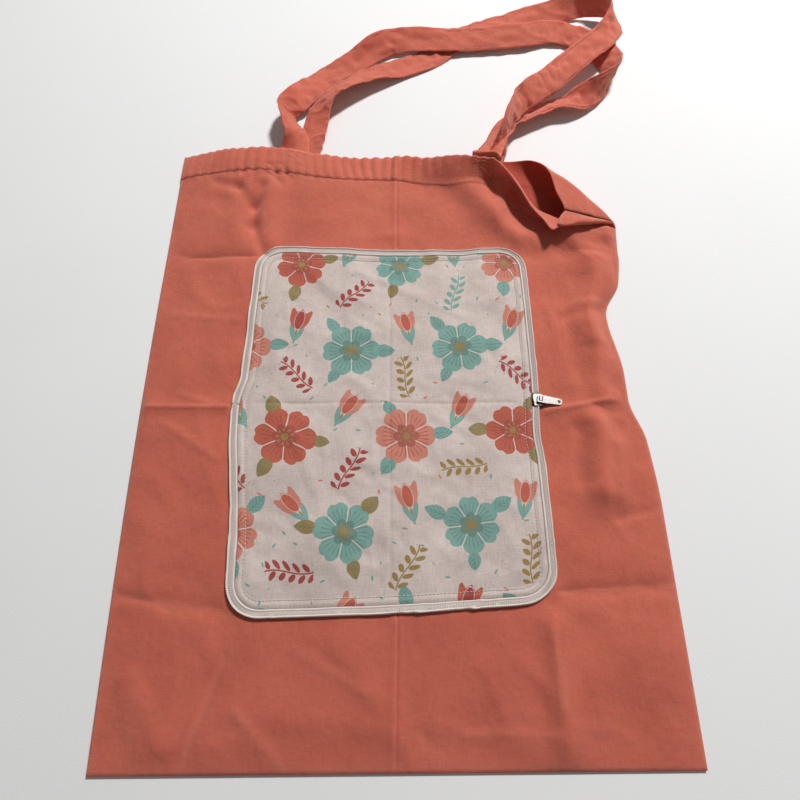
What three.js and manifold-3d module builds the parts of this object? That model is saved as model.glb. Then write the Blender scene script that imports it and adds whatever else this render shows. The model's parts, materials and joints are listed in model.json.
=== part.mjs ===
import * as THREE from 'three';
import { mergeVertices } from 'three/addons/utils/BufferGeometryUtils.js';
import Module from 'manifold-3d';

// A cotton tote bag that lies on its back, with its mouth pushed in at the top right corner.
// Millimetres. X runs across the bag, Y from its bottom to its mouth and Z up.
// The origin is under the middle of the bag, on the surface that it lies on.
// Every sheet is first a flat cut cloth with its own x and y, and is then folded and draped.

// Driving sizes
const BAG = { width: 380, height: 485, cloth: 1.2, hem: 25, hemCloth: 1.8 };
const GAP = 0.3;
const SEAM_GAP = 1;
const HANDLE = { width: 25, cloth: 1.5, sewn: 20, steps: 60, backing: 0.9, clear: 0.1 };
const POCKET = { width: 215, height: 279, x: -4, y: -5, corner: 18, cloth: 1.3, lift: 0.7 };
const ZIP = { tape: 6.2, cloth: 0.9, coil: 2.4, coilHeight: 2.3, side: 0.5, meet: -1 };
const SLIDER = { length: 10, width: 7.6, tail: 5.4, height: 2.6, bevel: 0.4, corner: 1 };
const SLIDER_PLACE = { x: 108.3, y: 1.5 };
const POST = { across: 1.5, along: 2.8, height: 2.2, x: 1.9, sunk: 0.1 };
const PULL = { length: 19, width: 6, tip: 5, thick: 1.2, slot: 3.2, corner: 1, tilt: 6, turn: -9 };
const PULL_HOLE = { radius: 1.3, sides: 10 };

// How high the closed bag stands, how far from its mouth it is closed, and how sharply its
// height falls off to its sides and to its bottom.
const PUFF = { height: 2.2, closing: 60, sideFall: 10, bottomFall: 6, seamFall: 3 };

const HALF_WIDTH = BAG.width / 2;
const HALF_HEIGHT = BAG.height / 2;
const HEM_LINE = HALF_HEIGHT - BAG.hem;

// The mouth's corner. Each fold is a line on the cloth as it is drawn down the bag, and beyond
// it the cloth turns over. A row gives the line's place, the turn in degrees and the bend.
const LIP_FOLD = {
  up: true,
  rows: [
    { x: -10, y: 213.5, turn: 0, radius: 20 },
    { x: 25, y: 210.5, turn: 15, radius: 20 },
    { x: 54, y: 204.5, turn: 34, radius: 12 },
    { x: 86, y: 205, turn: 67, radius: 6 },
    { x: 108, y: 205, turn: 118, radius: 5 },
    { x: 130, y: 200, turn: 153, radius: 4.5 },
    { x: 152, y: 186, turn: 162, radius: 4 },
    { x: 171, y: 168, turn: 168, radius: 3.2 },
    { x: 190, y: 158, turn: 176, radius: 2.4 },
  ],
};
const TIP_FOLD = {
  up: false,
  rows: [
    { x: 160, y: 240, turn: 120, radius: 1.8 },
    { x: 171, y: 217.5, turn: 140, radius: 1.8 },
    { x: 190, y: 166, turn: 160, radius: 1.6 },
  ],
};
const BACK_FOLD = {
  up: true,
  rows: [
    { x: 84, y: 248, turn: 150, radius: 9 },
    { x: 98, y: 240, turn: 172, radius: 9 },
    { x: 131, y: 210, turn: 176, radius: 8.5 },
    { x: 152, y: 190.5, turn: 178, radius: 8 },
    { x: 172, y: 173, turn: 178, radius: 6 },
    { x: 190, y: 160, turn: 176, radius: 4 },
  ],
};

// Where the top of the right side seam really lies: y is on the flat cloth, and side is the
// angle at which the front panel lies off the back panel there.
const SEAM_TOP = [
  { y: 125, px: 190, py: 114, pz: 1.5, side: 0 },
  { y: 160, px: 190, py: 138, pz: 1.5, side: 0 },
  { y: 178, px: 190.5, py: 152, pz: 2.6, side: 20 },
  { y: 190, px: 190, py: 161, pz: 6.5, side: 90 },
  { y: 200, px: 186, py: 163, pz: 11.5, side: 90 },
  { y: 218, px: 168, py: 164.5, pz: 16.5, side: 90 },
  { y: 242.5, px: 143, py: 167, pz: 22, side: 90 },
];
const SEAM_REACH = 46;
const SEAM_START = 18;

// How far the right edge is drawn in, from bottom to top.
const RIGHT_EDGE = [
  { y: -243, dx: 1 },
  { y: -83, dx: 1 },
  { y: -30, dx: -2 },
  { y: 4, dx: -11 },
  { y: 24, dx: -11 },
  { y: 76, dx: -18 },
  { y: 112, dx: -4 },
  { y: 150, dx: 0 },
];
const RIGHT_REACH = 90;
const LEFT_BULGE = 3.5;

// How far the pocket's sides and ends stray from its straight outline.
const POCKET_SIDES = [
  { y: -140, left: 3, right: 0 },
  { y: -104, left: 2, right: 0 },
  { y: -42, left: -2.5, right: 0 },
  { y: -22, left: -4.5, right: -1.7 },
  { y: 4, left: -5.5, right: 0 },
  { y: 26, left: -1, right: 1 },
  { y: 62, left: 0, right: 1 },
  { y: 127, left: 2, right: 0 },
];
const POCKET_ENDS = [
  { x: -107, top: 3, bottom: -2.5 },
  { x: 0, top: -1.5, bottom: 0 },
  { x: 100, top: 4, bottom: 5.5 },
];

// The mouth's edge, from left to right: how far the cloth is drawn up or down the bag, and how
// high the front panel stands there before its fold.
const RIM = [
  { x: -190, dy: 0, rise: 1 },
  { x: -165, dy: 2, rise: 5 },
  { x: -120, dy: 3, rise: 10.5 },
  { x: -92, dy: 1, rise: 9 },
  { x: -66, dy: -2, rise: 6.5 },
  { x: -30, dy: -2.5, rise: 1 },
  { x: 10, dy: -4, rise: 1 },
  { x: 34, dy: -9, rise: 1.5 },
  { x: 54, dy: -13, rise: 2 },
  { x: 86, dy: -12, rise: 2.5 },
  { x: 118, dy: -9, rise: 2 },
  { x: 135, dy: -12, rise: 1 },
  { x: 150, dy: -16, rise: 0 },
  { x: 171, dy: -25, rise: 0 },
  { x: 190, dy: -27, rise: 0 },
];
const BACK_RIM = [
  { x: 80, dy: 0 },
  { x: 105, dy: -5 },
  { x: 124, dy: -8 },
  { x: 140, dy: -13 },
  { x: 155, dy: -18 },
  { x: 171, dy: -25 },
  { x: 190, dy: -27 },
];
const RIM_REACH = 110;

// The line down to which the mouth's edge is drawn is the hem's seam on the left, and it sinks
// to the corner's line on the right.
const DRAWN_LINE = { corner: 190, from: 80, over: 90 };

// Where the mouth's corner takes over from the plain side edge.
const CORNER_PART = { y: 140, overY: 40, x: 20, overX: 60 };

// Creases and soft folds of the front panel: a line, its width and its height, minus for a trough.
const CREASES = [
  { name: 'centre fold, upper', from: [3, 242], to: [2, 150], width: 7, height: 1.1 },
  { name: 'centre fold, lower', from: [1, -155], to: [-1, -242], width: 7, height: 1.1 },
  { name: 'upper cross fold, left', from: [-192, 134], to: [-122, 134], width: 7, height: -1.2 },
  { name: 'middle fold, left', from: [-192, -1], to: [-128, -2], width: 9, height: 1.8 },
  { name: 'middle fold, right', from: [120, -6], to: [178, 3], width: 10, height: 2.2 },
  { name: 'lower cross fold, left', from: [-192, -136], to: [-122, -146], width: 8, height: -1.4 },
  { name: 'lower cross fold, right', from: [118, -137], to: [190, -134], width: 8, height: -1.2 },
  { name: 'trough by the left handle', from: [-156, 215], to: [-116, 160], width: 16, height: -2.8 },
  { name: 'broad trough to the pocket', from: [22, 224], to: [82, 152], width: 20, height: -2 },
  { name: 'ridge beside it', from: [52, 226], to: [106, 152], width: 22, height: 3 },
  { name: 'ridge under the lip', from: [112, 150], to: [188, 152], width: 16, height: 5 },
  { name: 'corner fold', from: [158, 190], to: [192, 158], width: 13, height: 2.4 },
  { name: 'right ridge, upper', from: [167, 156], to: [160, 90], width: 18, height: 4 },
  { name: 'right ridge, lower', from: [160, 90], to: [156, 8], width: 16, height: 3.4 },
  { name: 'right edge ridge', from: [176, 128], to: [186, 100], width: 12, height: 2.4 },
  { name: 'dent under the middle fold', from: [157, -24], to: [146, -44], width: 14, height: -2 },
  { name: 'ridge under the middle fold', from: [170, -8], to: [158, -74], width: 14, height: 2.2 },
  { name: 'bottom fold, left', from: [-110, -152], to: [-131, -236], width: 14, height: -2 },
  { name: 'bottom fold, beside it', from: [-103, -205], to: [-80, -240], width: 12, height: 1.8 },
  { name: 'low arc', from: [-83, -212], to: [-4, -220], width: 12, height: 1.2 },
  { name: 'bottom fold, right', from: [104, -158], to: [105, -242], width: 13, height: 2.2 },
];

// Rows across the sewn end of a handle, as parts of the sewn depth under the mouth's edge.
const SEWN_PARTS = [1, 0.7, 0.4, 0.05, -0.2];

// How far left and right of the bag's middle each handle's ends are sewn in.
const FRONT_HANDLE_ENDS = [-88, 80];
const BACK_HANDLE_ENDS = [-80, 86];

// The handles' free lengths: the middle of the strap, and how far its left edge is rolled up.
const FRONT_HANDLE_PATH = [
  { x: -88.5, y: 262, z: 14, roll: 36 },
  { x: -94.5, y: 275, z: 14.5, roll: 52 },
  { x: -99, y: 289, z: 14, roll: 54 },
  { x: -91, y: 304, z: 12, roll: 35 },
  { x: -72, y: 333, z: 6, roll: 2 },
  { x: -40, y: 358, z: 6, roll: 12 },
  { x: -15, y: 377, z: 10, roll: 40 },
  { x: 8, y: 387, z: 8.5, roll: 22 },
  { x: 66, y: 388, z: 8.5, roll: 14 },
  { x: 127, y: 394, z: 8.5, roll: 17 },
  { x: 162, y: 401, z: 7, roll: 14 },
  { x: 194, y: 388, z: 6, roll: 14 },
  { x: 211, y: 362, z: 8, roll: 32 },
  { x: 212, y: 337, z: 12.5, roll: 78 },
  { x: 197, y: 318, z: 13.5, roll: 114 },
  { x: 180, y: 310, z: 10, roll: 160 },
  { x: 165, y: 305, z: 8.5, roll: 202 },
  { x: 148, y: 302, z: 8, roll: 210 },
  { x: 130, y: 294, z: 8, roll: 210 },
  { x: 115, y: 286, z: 7, roll: 200 },
  { x: 104, y: 278, z: 6.5, roll: 184 },
  { x: 98, y: 273, z: 10, roll: 142 },
  { x: 92, y: 266, z: 17.4, roll: 97 },
  { x: 88, y: 258, z: 22, roll: 80 },
  { x: 87, y: 250, z: 21.5, roll: 72 },
  { x: 84, y: 240, z: 25, roll: 38 },
  { x: 81.5, y: 230, z: 28, roll: 10 },
];
const BACK_HANDLE_PATH = [
  { x: -75, y: 264, z: 4.6, roll: -12 },
  { x: -71, y: 283, z: 6.8, roll: -18 },
  { x: -67, y: 299, z: 10.5, roll: -26 },
  { x: -54, y: 316, z: 13, roll: -32 },
  { x: -26, y: 338, z: 9, roll: -16 },
  { x: 6, y: 355, z: 3, roll: 0 },
  { x: 38, y: 372, z: 1.6, roll: 0 },
  { x: 74, y: 403, z: 1.6, roll: 0 },
  { x: 116, y: 421, z: 2, roll: 0 },
  { x: 160, y: 430, z: 6, roll: 20 },
  { x: 194, y: 434, z: 13.5, roll: 62 },
  { x: 217, y: 424, z: 17, roll: 100 },
  { x: 220, y: 402, z: 19, roll: 140 },
  { x: 206, y: 379, z: 20, roll: 165 },
  { x: 182, y: 356, z: 20, roll: 168 },
  { x: 158, y: 331, z: 20, roll: 162 },
  { x: 142, y: 314, z: 21, roll: 152 },
  { x: 127, y: 301, z: 23, roll: 140 },
  { x: 116, y: 289, z: 24, roll: 128 },
  { x: 107.5, y: 277, z: 24, roll: 112 },
  { x: 104.5, y: 268, z: 22.5, roll: 98 },
  { x: 102.5, y: 261, z: 20.5, roll: 92 },
  { x: 100.5, y: 255.5, z: 18, roll: 84 },
  { x: 97, y: 250.5, z: 12, roll: 54 },
];

const radians = THREE.MathUtils.degToRad;
const clamp = THREE.MathUtils.clamp;
const lerp = THREE.MathUtils.lerp;
const ease = (t) => THREE.MathUtils.smoothstep(t, 0, 1);

// How steeply a column of a table runs through one of its rows, without a swing past it.
function rowSlope(rows, along, column, i) {
  const slope = (low) =>
    (rows[low + 1][column] - rows[low][column]) / (rows[low + 1][along] - rows[low][along]);
  if (i === 0) return slope(0);
  if (i === rows.length - 1) return slope(i - 1);
  const [before, after] = [slope(i - 1), slope(i)];
  return before * after <= 0 ? 0 : (2 * before * after) / (before + after);
}

// The value of one column of a table at a place along another column, on a smooth curve.
function lookUp(rows, along, at, column) {
  const last = rows.length - 1;
  if (at <= rows[0][along]) return rows[0][column];
  if (at >= rows[last][along]) return rows[last][column];
  let i = 0;
  while (at > rows[i + 1][along]) i += 1;
  const [low, high] = [rows[i], rows[i + 1]];
  const step = high[along] - low[along];
  const t = (at - low[along]) / step;
  const leaving = rowSlope(rows, along, column, i) * step;
  const arriving = rowSlope(rows, along, column, i + 1) * step;
  return (
    low[column] * (1 + 2 * t) * (1 - t) ** 2 +
    high[column] * t * t * (3 - 2 * t) +
    leaving * t * (1 - t) ** 2 -
    arriving * t * t * (1 - t)
  );
}

// A fold at one place across the bag: where its line is, how it slants, its turn and its bend.
function foldAt(fold, x) {
  const first = fold.rows[0].x;
  const last = fold.rows[fold.rows.length - 1].x;
  const inside = clamp(x, first + 1, last - 1);
  const drop = lookUp(fold.rows, 'x', inside - 1, 'y') - lookUp(fold.rows, 'x', inside + 1, 'y');
  return {
    y: lookUp(fold.rows, 'x', x, 'y'),
    slant: Math.atan2(drop, 2),
    turn: radians(lookUp(fold.rows, 'x', x, 'turn')),
    radius: lookUp(fold.rows, 'x', x, 'radius'),
  };
}

// Folds the cloth beyond a line over, up or down, round a bend.
function foldOver(point, fold) {
  const { y, slant, turn, radius } = foldAt(fold, point.x);
  const beyondY = point.y - y;
  if (beyondY <= 0 || turn === 0) return point.clone();
  const sign = fold.up ? 1 : -1;
  const across = new THREE.Vector2(Math.sin(slant), Math.cos(slant));
  const alongLine = beyondY * Math.sin(slant);
  const beyond = beyondY * Math.cos(slant);
  const bent = Math.min(beyond / radius, turn);
  const rest = Math.max(0, beyond - radius * turn);
  const arm = radius - sign * point.z;
  const reach = arm * Math.sin(bent) + rest * Math.cos(bent);
  const rise = radius - arm * Math.cos(bent) + rest * Math.sin(bent);
  return new THREE.Vector3(
    point.x - across.y * alongLine + across.x * reach,
    y + across.x * alongLine + across.y * reach,
    sign * rise,
  );
}

// Half the cloth's thickness at a height on the flat panel, more in the hem at the mouth.
function halfCloth(y) {
  const inHem = ease(clamp((y - HEM_LINE + 3) / 4, 0, 1));
  return lerp(BAG.cloth, BAG.hemCloth, inHem) / 2;
}

// Height of one crease at a place: a soft ridge or trough that dies out at both ends.
function creaseHeight(crease, x, y) {
  const run = new THREE.Vector2(crease.to[0] - crease.from[0], crease.to[1] - crease.from[1]);
  const length = run.length();
  run.divideScalar(length);
  const along = (x - crease.from[0]) * run.x + (y - crease.from[1]) * run.y;
  const aside = (x - crease.from[0]) * run.y - (y - crease.from[1]) * run.x;
  const past = Math.max(0, -along, along - length);
  const off = Math.hypot(aside, past) / crease.width;
  return crease.height * Math.exp(-2 * off * off);
}

// How far the front panel stands over the back panel, at a place seen from above.
function frontHeight(x, y) {
  const inX = 1 - Math.min(1, Math.abs(x / HALF_WIDTH)) ** PUFF.sideFall;
  const inY = 1 - clamp(-y / HALF_HEIGHT, 0, 1) ** PUFF.bottomFall;
  const closed = ease(clamp((HALF_HEIGHT - y) / PUFF.closing, 0, 1));
  const rimPart = 1 - ease(clamp((HALF_HEIGHT - y) / RIM_REACH, 0, 1));
  const folds = CREASES.reduce((sum, crease) => sum + creaseHeight(crease, x, y), 0);
  const room = inX * inY;
  const rise = lookUp(RIM, 'x', x, 'rise') * rimPart;
  const creased = folds * Math.min(1, PUFF.seamFall * room);
  return Math.max(0, PUFF.height * room * closed + rise + creased);
}

// How far a place on the flat cloth is shifted when the bag is laid down.
function edgeShift(x, y) {
  const nearRight = ease(clamp(1 - (HALF_WIDTH - x) / RIGHT_REACH, 0, 1));
  const nearLeft = ease(clamp(1 - (HALF_WIDTH + x) / RIGHT_REACH, 0, 1));
  const bulge = LEFT_BULGE * Math.cos((y / HALF_HEIGHT) * (Math.PI / 2));
  return nearRight * lookUp(RIGHT_EDGE, 'y', y, 'dx') - nearLeft * bulge;
}

// How strongly a place follows the side seam: most at the seam itself.
function seamPull(x, y) {
  const near = ease(clamp(1 - (HALF_WIDTH - x) / SEAM_REACH, 0, 1));
  return near * ease(clamp((y - SEAM_TOP[0].y) / SEAM_START, 0, 1));
}

// Draws a panel's right edge to the side seam's real place, and leaves the rest as it was.
function closeSeam(point, x, y, uncorrected, fold) {
  const strength = seamPull(x, y);
  if (strength === 0) return point;
  const angle = radians(lookUp(SEAM_TOP, 'y', y, 'side'));
  const apart = (fold === BACK_FOLD ? -1 : 1) * (halfCloth(y) + SEAM_GAP);
  const goal = new THREE.Vector3(
    lookUp(SEAM_TOP, 'y', y, 'px'),
    lookUp(SEAM_TOP, 'y', y, 'py') - apart * Math.sin(angle),
    lookUp(SEAM_TOP, 'y', y, 'pz') + apart * Math.cos(angle),
  );
  return point.addScaledVector(goal.sub(uncorrected), strength);
}

// A place on the cloth as it is drawn up or down the bag, the most at the mouth's edge.
function drawnDown(x, y, rim) {
  const toCorner = ease(clamp((x - DRAWN_LINE.from) / DRAWN_LINE.over, 0, 1));
  const line = lerp(HEM_LINE, DRAWN_LINE.corner, toCorner);
  const part = 1 - ease(clamp((line - y) / RIM_REACH, 0, 1));
  return new THREE.Vector3(x, y + lookUp(rim, 'x', x, 'dy') * part, 0);
}

function foldedFront(x, y) {
  const lip = foldOver(foldOver(drawnDown(x, y, RIM), TIP_FOLD), LIP_FOLD);
  lip.z += 3 * halfCloth(y) + GAP + frontHeight(lip.x, lip.y);
  return lip;
}

function foldedBack(x, y) {
  const corner = foldOver(drawnDown(x, y, BACK_RIM), BACK_FOLD);
  corner.z += halfCloth(y);
  return corner;
}

// A panel's place with its seam closed and its side edges as they really lie.
function settled(folded, x, y, fold) {
  const point = closeSeam(folded(x, y), x, y, folded(HALF_WIDTH, y), fold);
  const { y: cornerY, overY, x: cornerX, overX } = CORNER_PART;
  const cornerUp = ease(clamp((y - cornerY) / overY, 0, 1));
  const cornerAcross = ease(clamp((x - cornerX) / overX, 0, 1));
  point.x += edgeShift(x, y) * (1 - cornerUp * cornerAcross);
  return point;
}

// The middle of each panel's cloth, from its place on the flat cloth.
const frontPoint = (x, y) => settled(foldedFront, x, y, LIP_FOLD);
function backPoint(x, y) {
  const point = settled(foldedBack, x, y, BACK_FOLD);
  point.z = Math.max(point.z, halfCloth(y));
  return point;
}

// The outward direction of a draped sheet, from small steps on its flat cloth.
function sheetNormal(surface, x, y) {
  const step = 0.5;
  const alongX = surface(x + step, y).sub(surface(x - step, y));
  const alongY = surface(x, y + step).sub(surface(x, y - step));
  return alongX.cross(alongY).normalize();
}

function offsetPoint(surface, x, y, distance) {
  return surface(x, y).addScaledVector(sheetNormal(surface, x, y), distance);
}

// A closed solid from two grids of points, the upper and lower face of a sheet.
function solidBetween(upper, lower) {
  const rows = upper.length;
  const columns = upper[0].length;
  const last = columns - 1;
  const positions = [];
  upper.concat(lower).forEach((row) => row.forEach((p) => positions.push(p.x, p.y, p.z)));
  const top = (i, j) => i * columns + j;
  const under = (i, j) => (rows + i) * columns + j;
  const index = [];
  const quad = (a, b, c, d) => index.push(a, b, c, a, c, d);
  for (let i = 0; i + 1 < rows; i += 1) {
    for (let j = 0; j + 1 < columns; j += 1) {
      quad(top(i, j), top(i, j + 1), top(i + 1, j + 1), top(i + 1, j));
      quad(under(i, j), under(i + 1, j), under(i + 1, j + 1), under(i, j + 1));
    }
    quad(top(i, 0), top(i + 1, 0), under(i + 1, 0), under(i, 0));
    quad(top(i + 1, last), top(i, last), under(i, last), under(i + 1, last));
  }
  for (let j = 0; j + 1 < columns; j += 1) {
    quad(top(0, j + 1), top(0, j), under(0, j), under(0, j + 1));
    quad(top(rows - 1, j), top(rows - 1, j + 1), under(rows - 1, j + 1), under(rows - 1, j));
  }
  const geometry = new THREE.BufferGeometry();
  geometry.setAttribute('position', new THREE.Float32BufferAttribute(positions, 3));
  geometry.setIndex(index);
  geometry.computeVertexNormals();
  return geometry;
}

// Grid lines between two ends, closer where the step function asks for it.
function gridLines(start, end, stepAt) {
  const lines = [start];
  let place = start;
  while (place < end) {
    place += stepAt(place);
    lines.push(place);
  }
  const stretch = (end - start) / (place - start);
  return lines.map((line) => start + (line - start) * stretch);
}

// The rows of a panel at one column: even ones up to the fold, close ones round its bend, and
// the rest up to the mouth.
function panelRows(fold, x, counts) {
  const { y: line, slant, turn, radius } = foldAt(fold, x);
  const y = line - lookUp(fold === BACK_FOLD ? BACK_RIM : RIM, 'x', x, 'dy');
  const start = Math.min(y, HEM_LINE);
  const bend = (radius * turn) / Math.cos(slant);
  const end = clamp(y + bend, start + 8, HALF_HEIGHT - 4);
  const spread = (from, to, count) =>
    Array.from({ length: count }, (_, i) => lerp(from, to, i / count));
  return [
    ...spread(-HALF_HEIGHT, start, counts.body),
    ...spread(start, end, counts.bend),
    ...spread(end, HALF_HEIGHT, counts.flap),
    HALF_HEIGHT,
  ];
}

// A panel of the bag, with a thicker hem at the mouth.
function panelGeometry(surface, columns, fold, counts) {
  const lines = columns.map((x) => panelRows(fold, x, counts));
  const face = (side) =>
    lines[0].map((_, i) =>
      columns.map((x, j) => offsetPoint(surface, x, lines[j][i], side * halfCloth(lines[j][i]))),
    );
  return solidBetween(face(1), face(-1));
}

// The panels' columns: wide ones on the left, closer ones towards the mouth's corner.
const FRONT_STEPS = { wide: 15, middle: 9, close: 4, middleFrom: 40, closeFrom: 160 };
const BACK_STEPS = { wide: 30, close: 8, closeFrom: 80 };
const frontColumns = gridLines(-HALF_WIDTH, HALF_WIDTH, (x) => {
  if (x > FRONT_STEPS.closeFrom) return FRONT_STEPS.close;
  return x > FRONT_STEPS.middleFrom ? FRONT_STEPS.middle : FRONT_STEPS.wide;
});
const backColumns = gridLines(-HALF_WIDTH, HALF_WIDTH, (x) =>
  x > BACK_STEPS.closeFrom ? BACK_STEPS.close : BACK_STEPS.wide,
);
const FRONT_COUNTS = { body: 30, bend: 6, flap: 5 };
const BACK_COUNTS = { body: 18, bend: 8, flap: 4 };

function makeMesh(name, geometry, finish) {
  const mesh = new THREE.Mesh(geometry, new THREE.MeshStandardMaterial(finish));
  mesh.name = name;
  return mesh;
}

// The direction in which a strap runs past one row of its path.
function runAt(path, i) {
  const before = path[Math.max(0, i - 1)];
  const after = path[Math.min(path.length - 1, i + 1)];
  const [dx, dy, dz] = ['x', 'y', 'z'].map((axis) => after[axis] - before[axis]);
  return new THREE.Vector3(dx, dy, dz).normalize();
}

// The threads of a strap: rows of points across it, sewn to a panel at both ends.
function strapThreads(surface, inward, middles, path) {
  const threads = [-1, -0.5, 0, 0.5, 1];
  const half = HANDLE.width / 2;
  const depth = inward * ((BAG.hemCloth + HANDLE.cloth) / 2 + HANDLE.backing);
  const sewnRow = (middle, y, side) =>
    threads.map((t) => offsetPoint(surface, middle + side * t * half, y, depth));
  const depths = SEWN_PARTS.map((part) => part * HANDLE.sewn);
  const sewnStart = depths.map((d) => sewnRow(middles[0], HALF_HEIGHT - d, -1));
  const sewnEnd = depths.reverse().map((d) => sewnRow(middles[1], HALF_HEIGHT - d, 1));
  const free = path.map((row, i) => {
    const run = runAt(path, i);
    const left = new THREE.Vector3(-run.y, run.x, 0).normalize();
    const over = run.clone().cross(left);
    const roll = radians(row.roll);
    const width = left.multiplyScalar(Math.cos(roll)).addScaledVector(over, Math.sin(roll));
    const lowest = half * Math.abs(Math.sin(roll)) + HANDLE.cloth / 2 + HANDLE.clear;
    const middle = new THREE.Vector3(row.x, row.y, Math.max(row.z, lowest));
    return threads.map((t) => middle.clone().addScaledVector(width, t * half));
  });
  return [...sewnStart, ...free, ...sewnEnd];
}

// A strap lofted through its rows, with the cloth's thickness.
function strapGeometry(rows, steps) {
  const threadCurve = (i) => {
    const places = rows.map((row) => row[i]);
    return new THREE.CatmullRomCurve3(places, false, 'centripetal');
  };
  const curves = rows[0].map((_, i) => threadCurve(i));
  const grid = [];
  for (let i = 0; i <= steps; i += 1) {
    grid.push(curves.map((curve) => curve.getPoint(i / steps)));
  }
  const face = (side) =>
    grid.map((row, i) => {
      const before = grid[Math.max(0, i - 1)];
      const after = grid[Math.min(steps, i + 1)];
      const last = row.length - 1;
      const run = after[last / 2].clone().sub(before[last / 2]);
      const across = row[last].clone().sub(row[0]);
      const out = run.cross(across).normalize().multiplyScalar((side * HANDLE.cloth) / 2);
      return row.map((p) => p.clone().add(out));
    });
  return solidBetween(face(-1), face(1));
}

// A place on the flat front panel, from a place on the pocket's straight outline.
function pocketPlace(x, y) {
  const a = clamp((2 * x) / POCKET.width, -1, 1);
  const b = clamp((2 * y) / POCKET.height, -1, 1);
  const side = lookUp(POCKET_SIDES, 'y', y, a < 0 ? 'left' : 'right');
  const end = lookUp(POCKET_ENDS, 'x', x, b < 0 ? 'bottom' : 'top');
  return [POCKET.x + x + side * Math.abs(a), POCKET.y + y + end * Math.abs(b)];
}

// Half the pocket's width at a height over its middle, drawn in round its corners.
function pocketHalfWidth(y) {
  const into = Math.max(0, Math.abs(y) - (POCKET.height / 2 - POCKET.corner));
  const round = Math.sqrt(Math.max(0, POCKET.corner ** 2 - into ** 2));
  return POCKET.width / 2 - POCKET.corner + round;
}

// The pocket's mesh: a row's height, and a column's part of half the width.
const POCKET_GRID = { row: 10.5, column: 0.12 };

function pocketGeometry() {
  const straight = POCKET.height / 2 - POCKET.corner;
  const cornerRows = 4;
  const arc = Array.from({ length: cornerRows }, (_, i) => {
    const angle = ((i + 1) * Math.PI) / (2 * cornerRows);
    return straight + POCKET.corner * Math.sin(angle);
  });
  const rows = [
    ...arc.map((y) => -y).reverse(),
    ...gridLines(-straight, straight, () => POCKET_GRID.row),
    ...arc,
  ];
  const columns = gridLines(-1, 1, () => POCKET_GRID.column);
  const height = BAG.cloth / 2 + POCKET.lift;
  const face = (distance) =>
    rows.map((y) =>
      columns.map((a) => {
        const [placeX, placeY] = pocketPlace(a * pocketHalfWidth(y), y);
        return offsetPoint(frontPoint, placeX, placeY, distance);
      }),
    );
  return solidBetween(face(height + POCKET.cloth), face(height));
}

// Places and outward directions along half of the pocket's outline, from its right side round
// one end to its left side. The lower half is the upper one turned over.
function outlineHalf(sign) {
  const halfWidth = POCKET.width / 2;
  const halfHeight = POCKET.height / 2;
  const corner = POCKET.corner;
  const start = sign * (SLIDER_PLACE.y - POCKET.y) + SLIDER.length / 2 + GAP;
  const finish = sign * (ZIP.meet - POCKET.y) + GAP;
  const [sideSteps, topSteps, cornerSteps] = [11, 12, 5];
  const places = [];
  const add = (x, y, outX, outY) => places.push({ x, y: sign * y, outX, outY: sign * outY });
  const addCorner = (centreX, from) => {
    for (let i = 0; i < cornerSteps; i += 1) {
      const angle = from + ((Math.PI / 2) * i) / cornerSteps;
      const [cos, sin] = [Math.cos(angle), Math.sin(angle)];
      add(centreX + corner * cos, halfHeight - corner + corner * sin, cos, sin);
    }
  };
  for (let i = 0; i < sideSteps; i += 1) {
    add(halfWidth, lerp(start, halfHeight - corner, i / sideSteps), 1, 0);
  }
  addCorner(halfWidth - corner, 0);
  for (let i = 0; i < topSteps; i += 1) {
    add(lerp(halfWidth - corner, corner - halfWidth, i / topSteps), halfHeight, 0, 1);
  }
  addCorner(corner - halfWidth, Math.PI / 2);
  for (let i = 0; i <= sideSteps; i += 1) {
    add(-halfWidth, lerp(halfHeight - corner, finish, i / sideSteps), -1, 0);
  }
  return places;
}

// Half of the zip: a flat tape beside the pocket's edge, with the coil along its outer edge.
function zipGeometry(sign) {
  const coilStart = ZIP.tape - ZIP.coil;
  const base = BAG.cloth / 2 + POCKET.lift;
  const flat = base + ZIP.cloth;
  const proud = base + ZIP.coilHeight;
  const section = [
    { out: ZIP.side, low: base, high: flat },
    { out: coilStart, low: base, high: flat },
    { out: coilStart + ZIP.coil * 0.3, low: base, high: proud },
    { out: coilStart + ZIP.coil * 0.75, low: base, high: proud },
    { out: ZIP.tape, low: base, high: flat },
  ];
  const face = (side) =>
    outlineHalf(sign).map((place) =>
      section.map((edge) => {
        const [x, y] = pocketPlace(place.x, place.y);
        const [outX, outY] = [place.outX * edge.out, place.outY * edge.out];
        return offsetPoint(frontPoint, x + outX, y + outY, edge[side]);
      }),
    );
  const [upper, lower] = sign > 0 ? ['high', 'low'] : ['low', 'high'];
  return solidBetween(face(upper), face(lower));
}

// Joins two closed geometries into one.
const solids = await Module();
solids.setup();
function joined(first, second) {
  const asSolid = (geometry) => {
    const bare = geometry.clone();
    bare.deleteAttribute('normal');
    bare.deleteAttribute('uv');
    const merged = mergeVertices(bare);
    return new solids.Manifold(
      new solids.Mesh({
        numProp: 3,
        vertProperties: merged.attributes.position.array,
        triVerts: Uint32Array.from(merged.index.array),
      }),
    );
  };
  const mesh = asSolid(first).add(asSolid(second)).getMesh();
  const geometry = new THREE.BufferGeometry();
  geometry.setAttribute('position', new THREE.BufferAttribute(mesh.vertProperties, 3));
  geometry.setIndex(new THREE.BufferAttribute(mesh.triVerts, 1));
  geometry.computeVertexNormals();
  return geometry;
}

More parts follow.
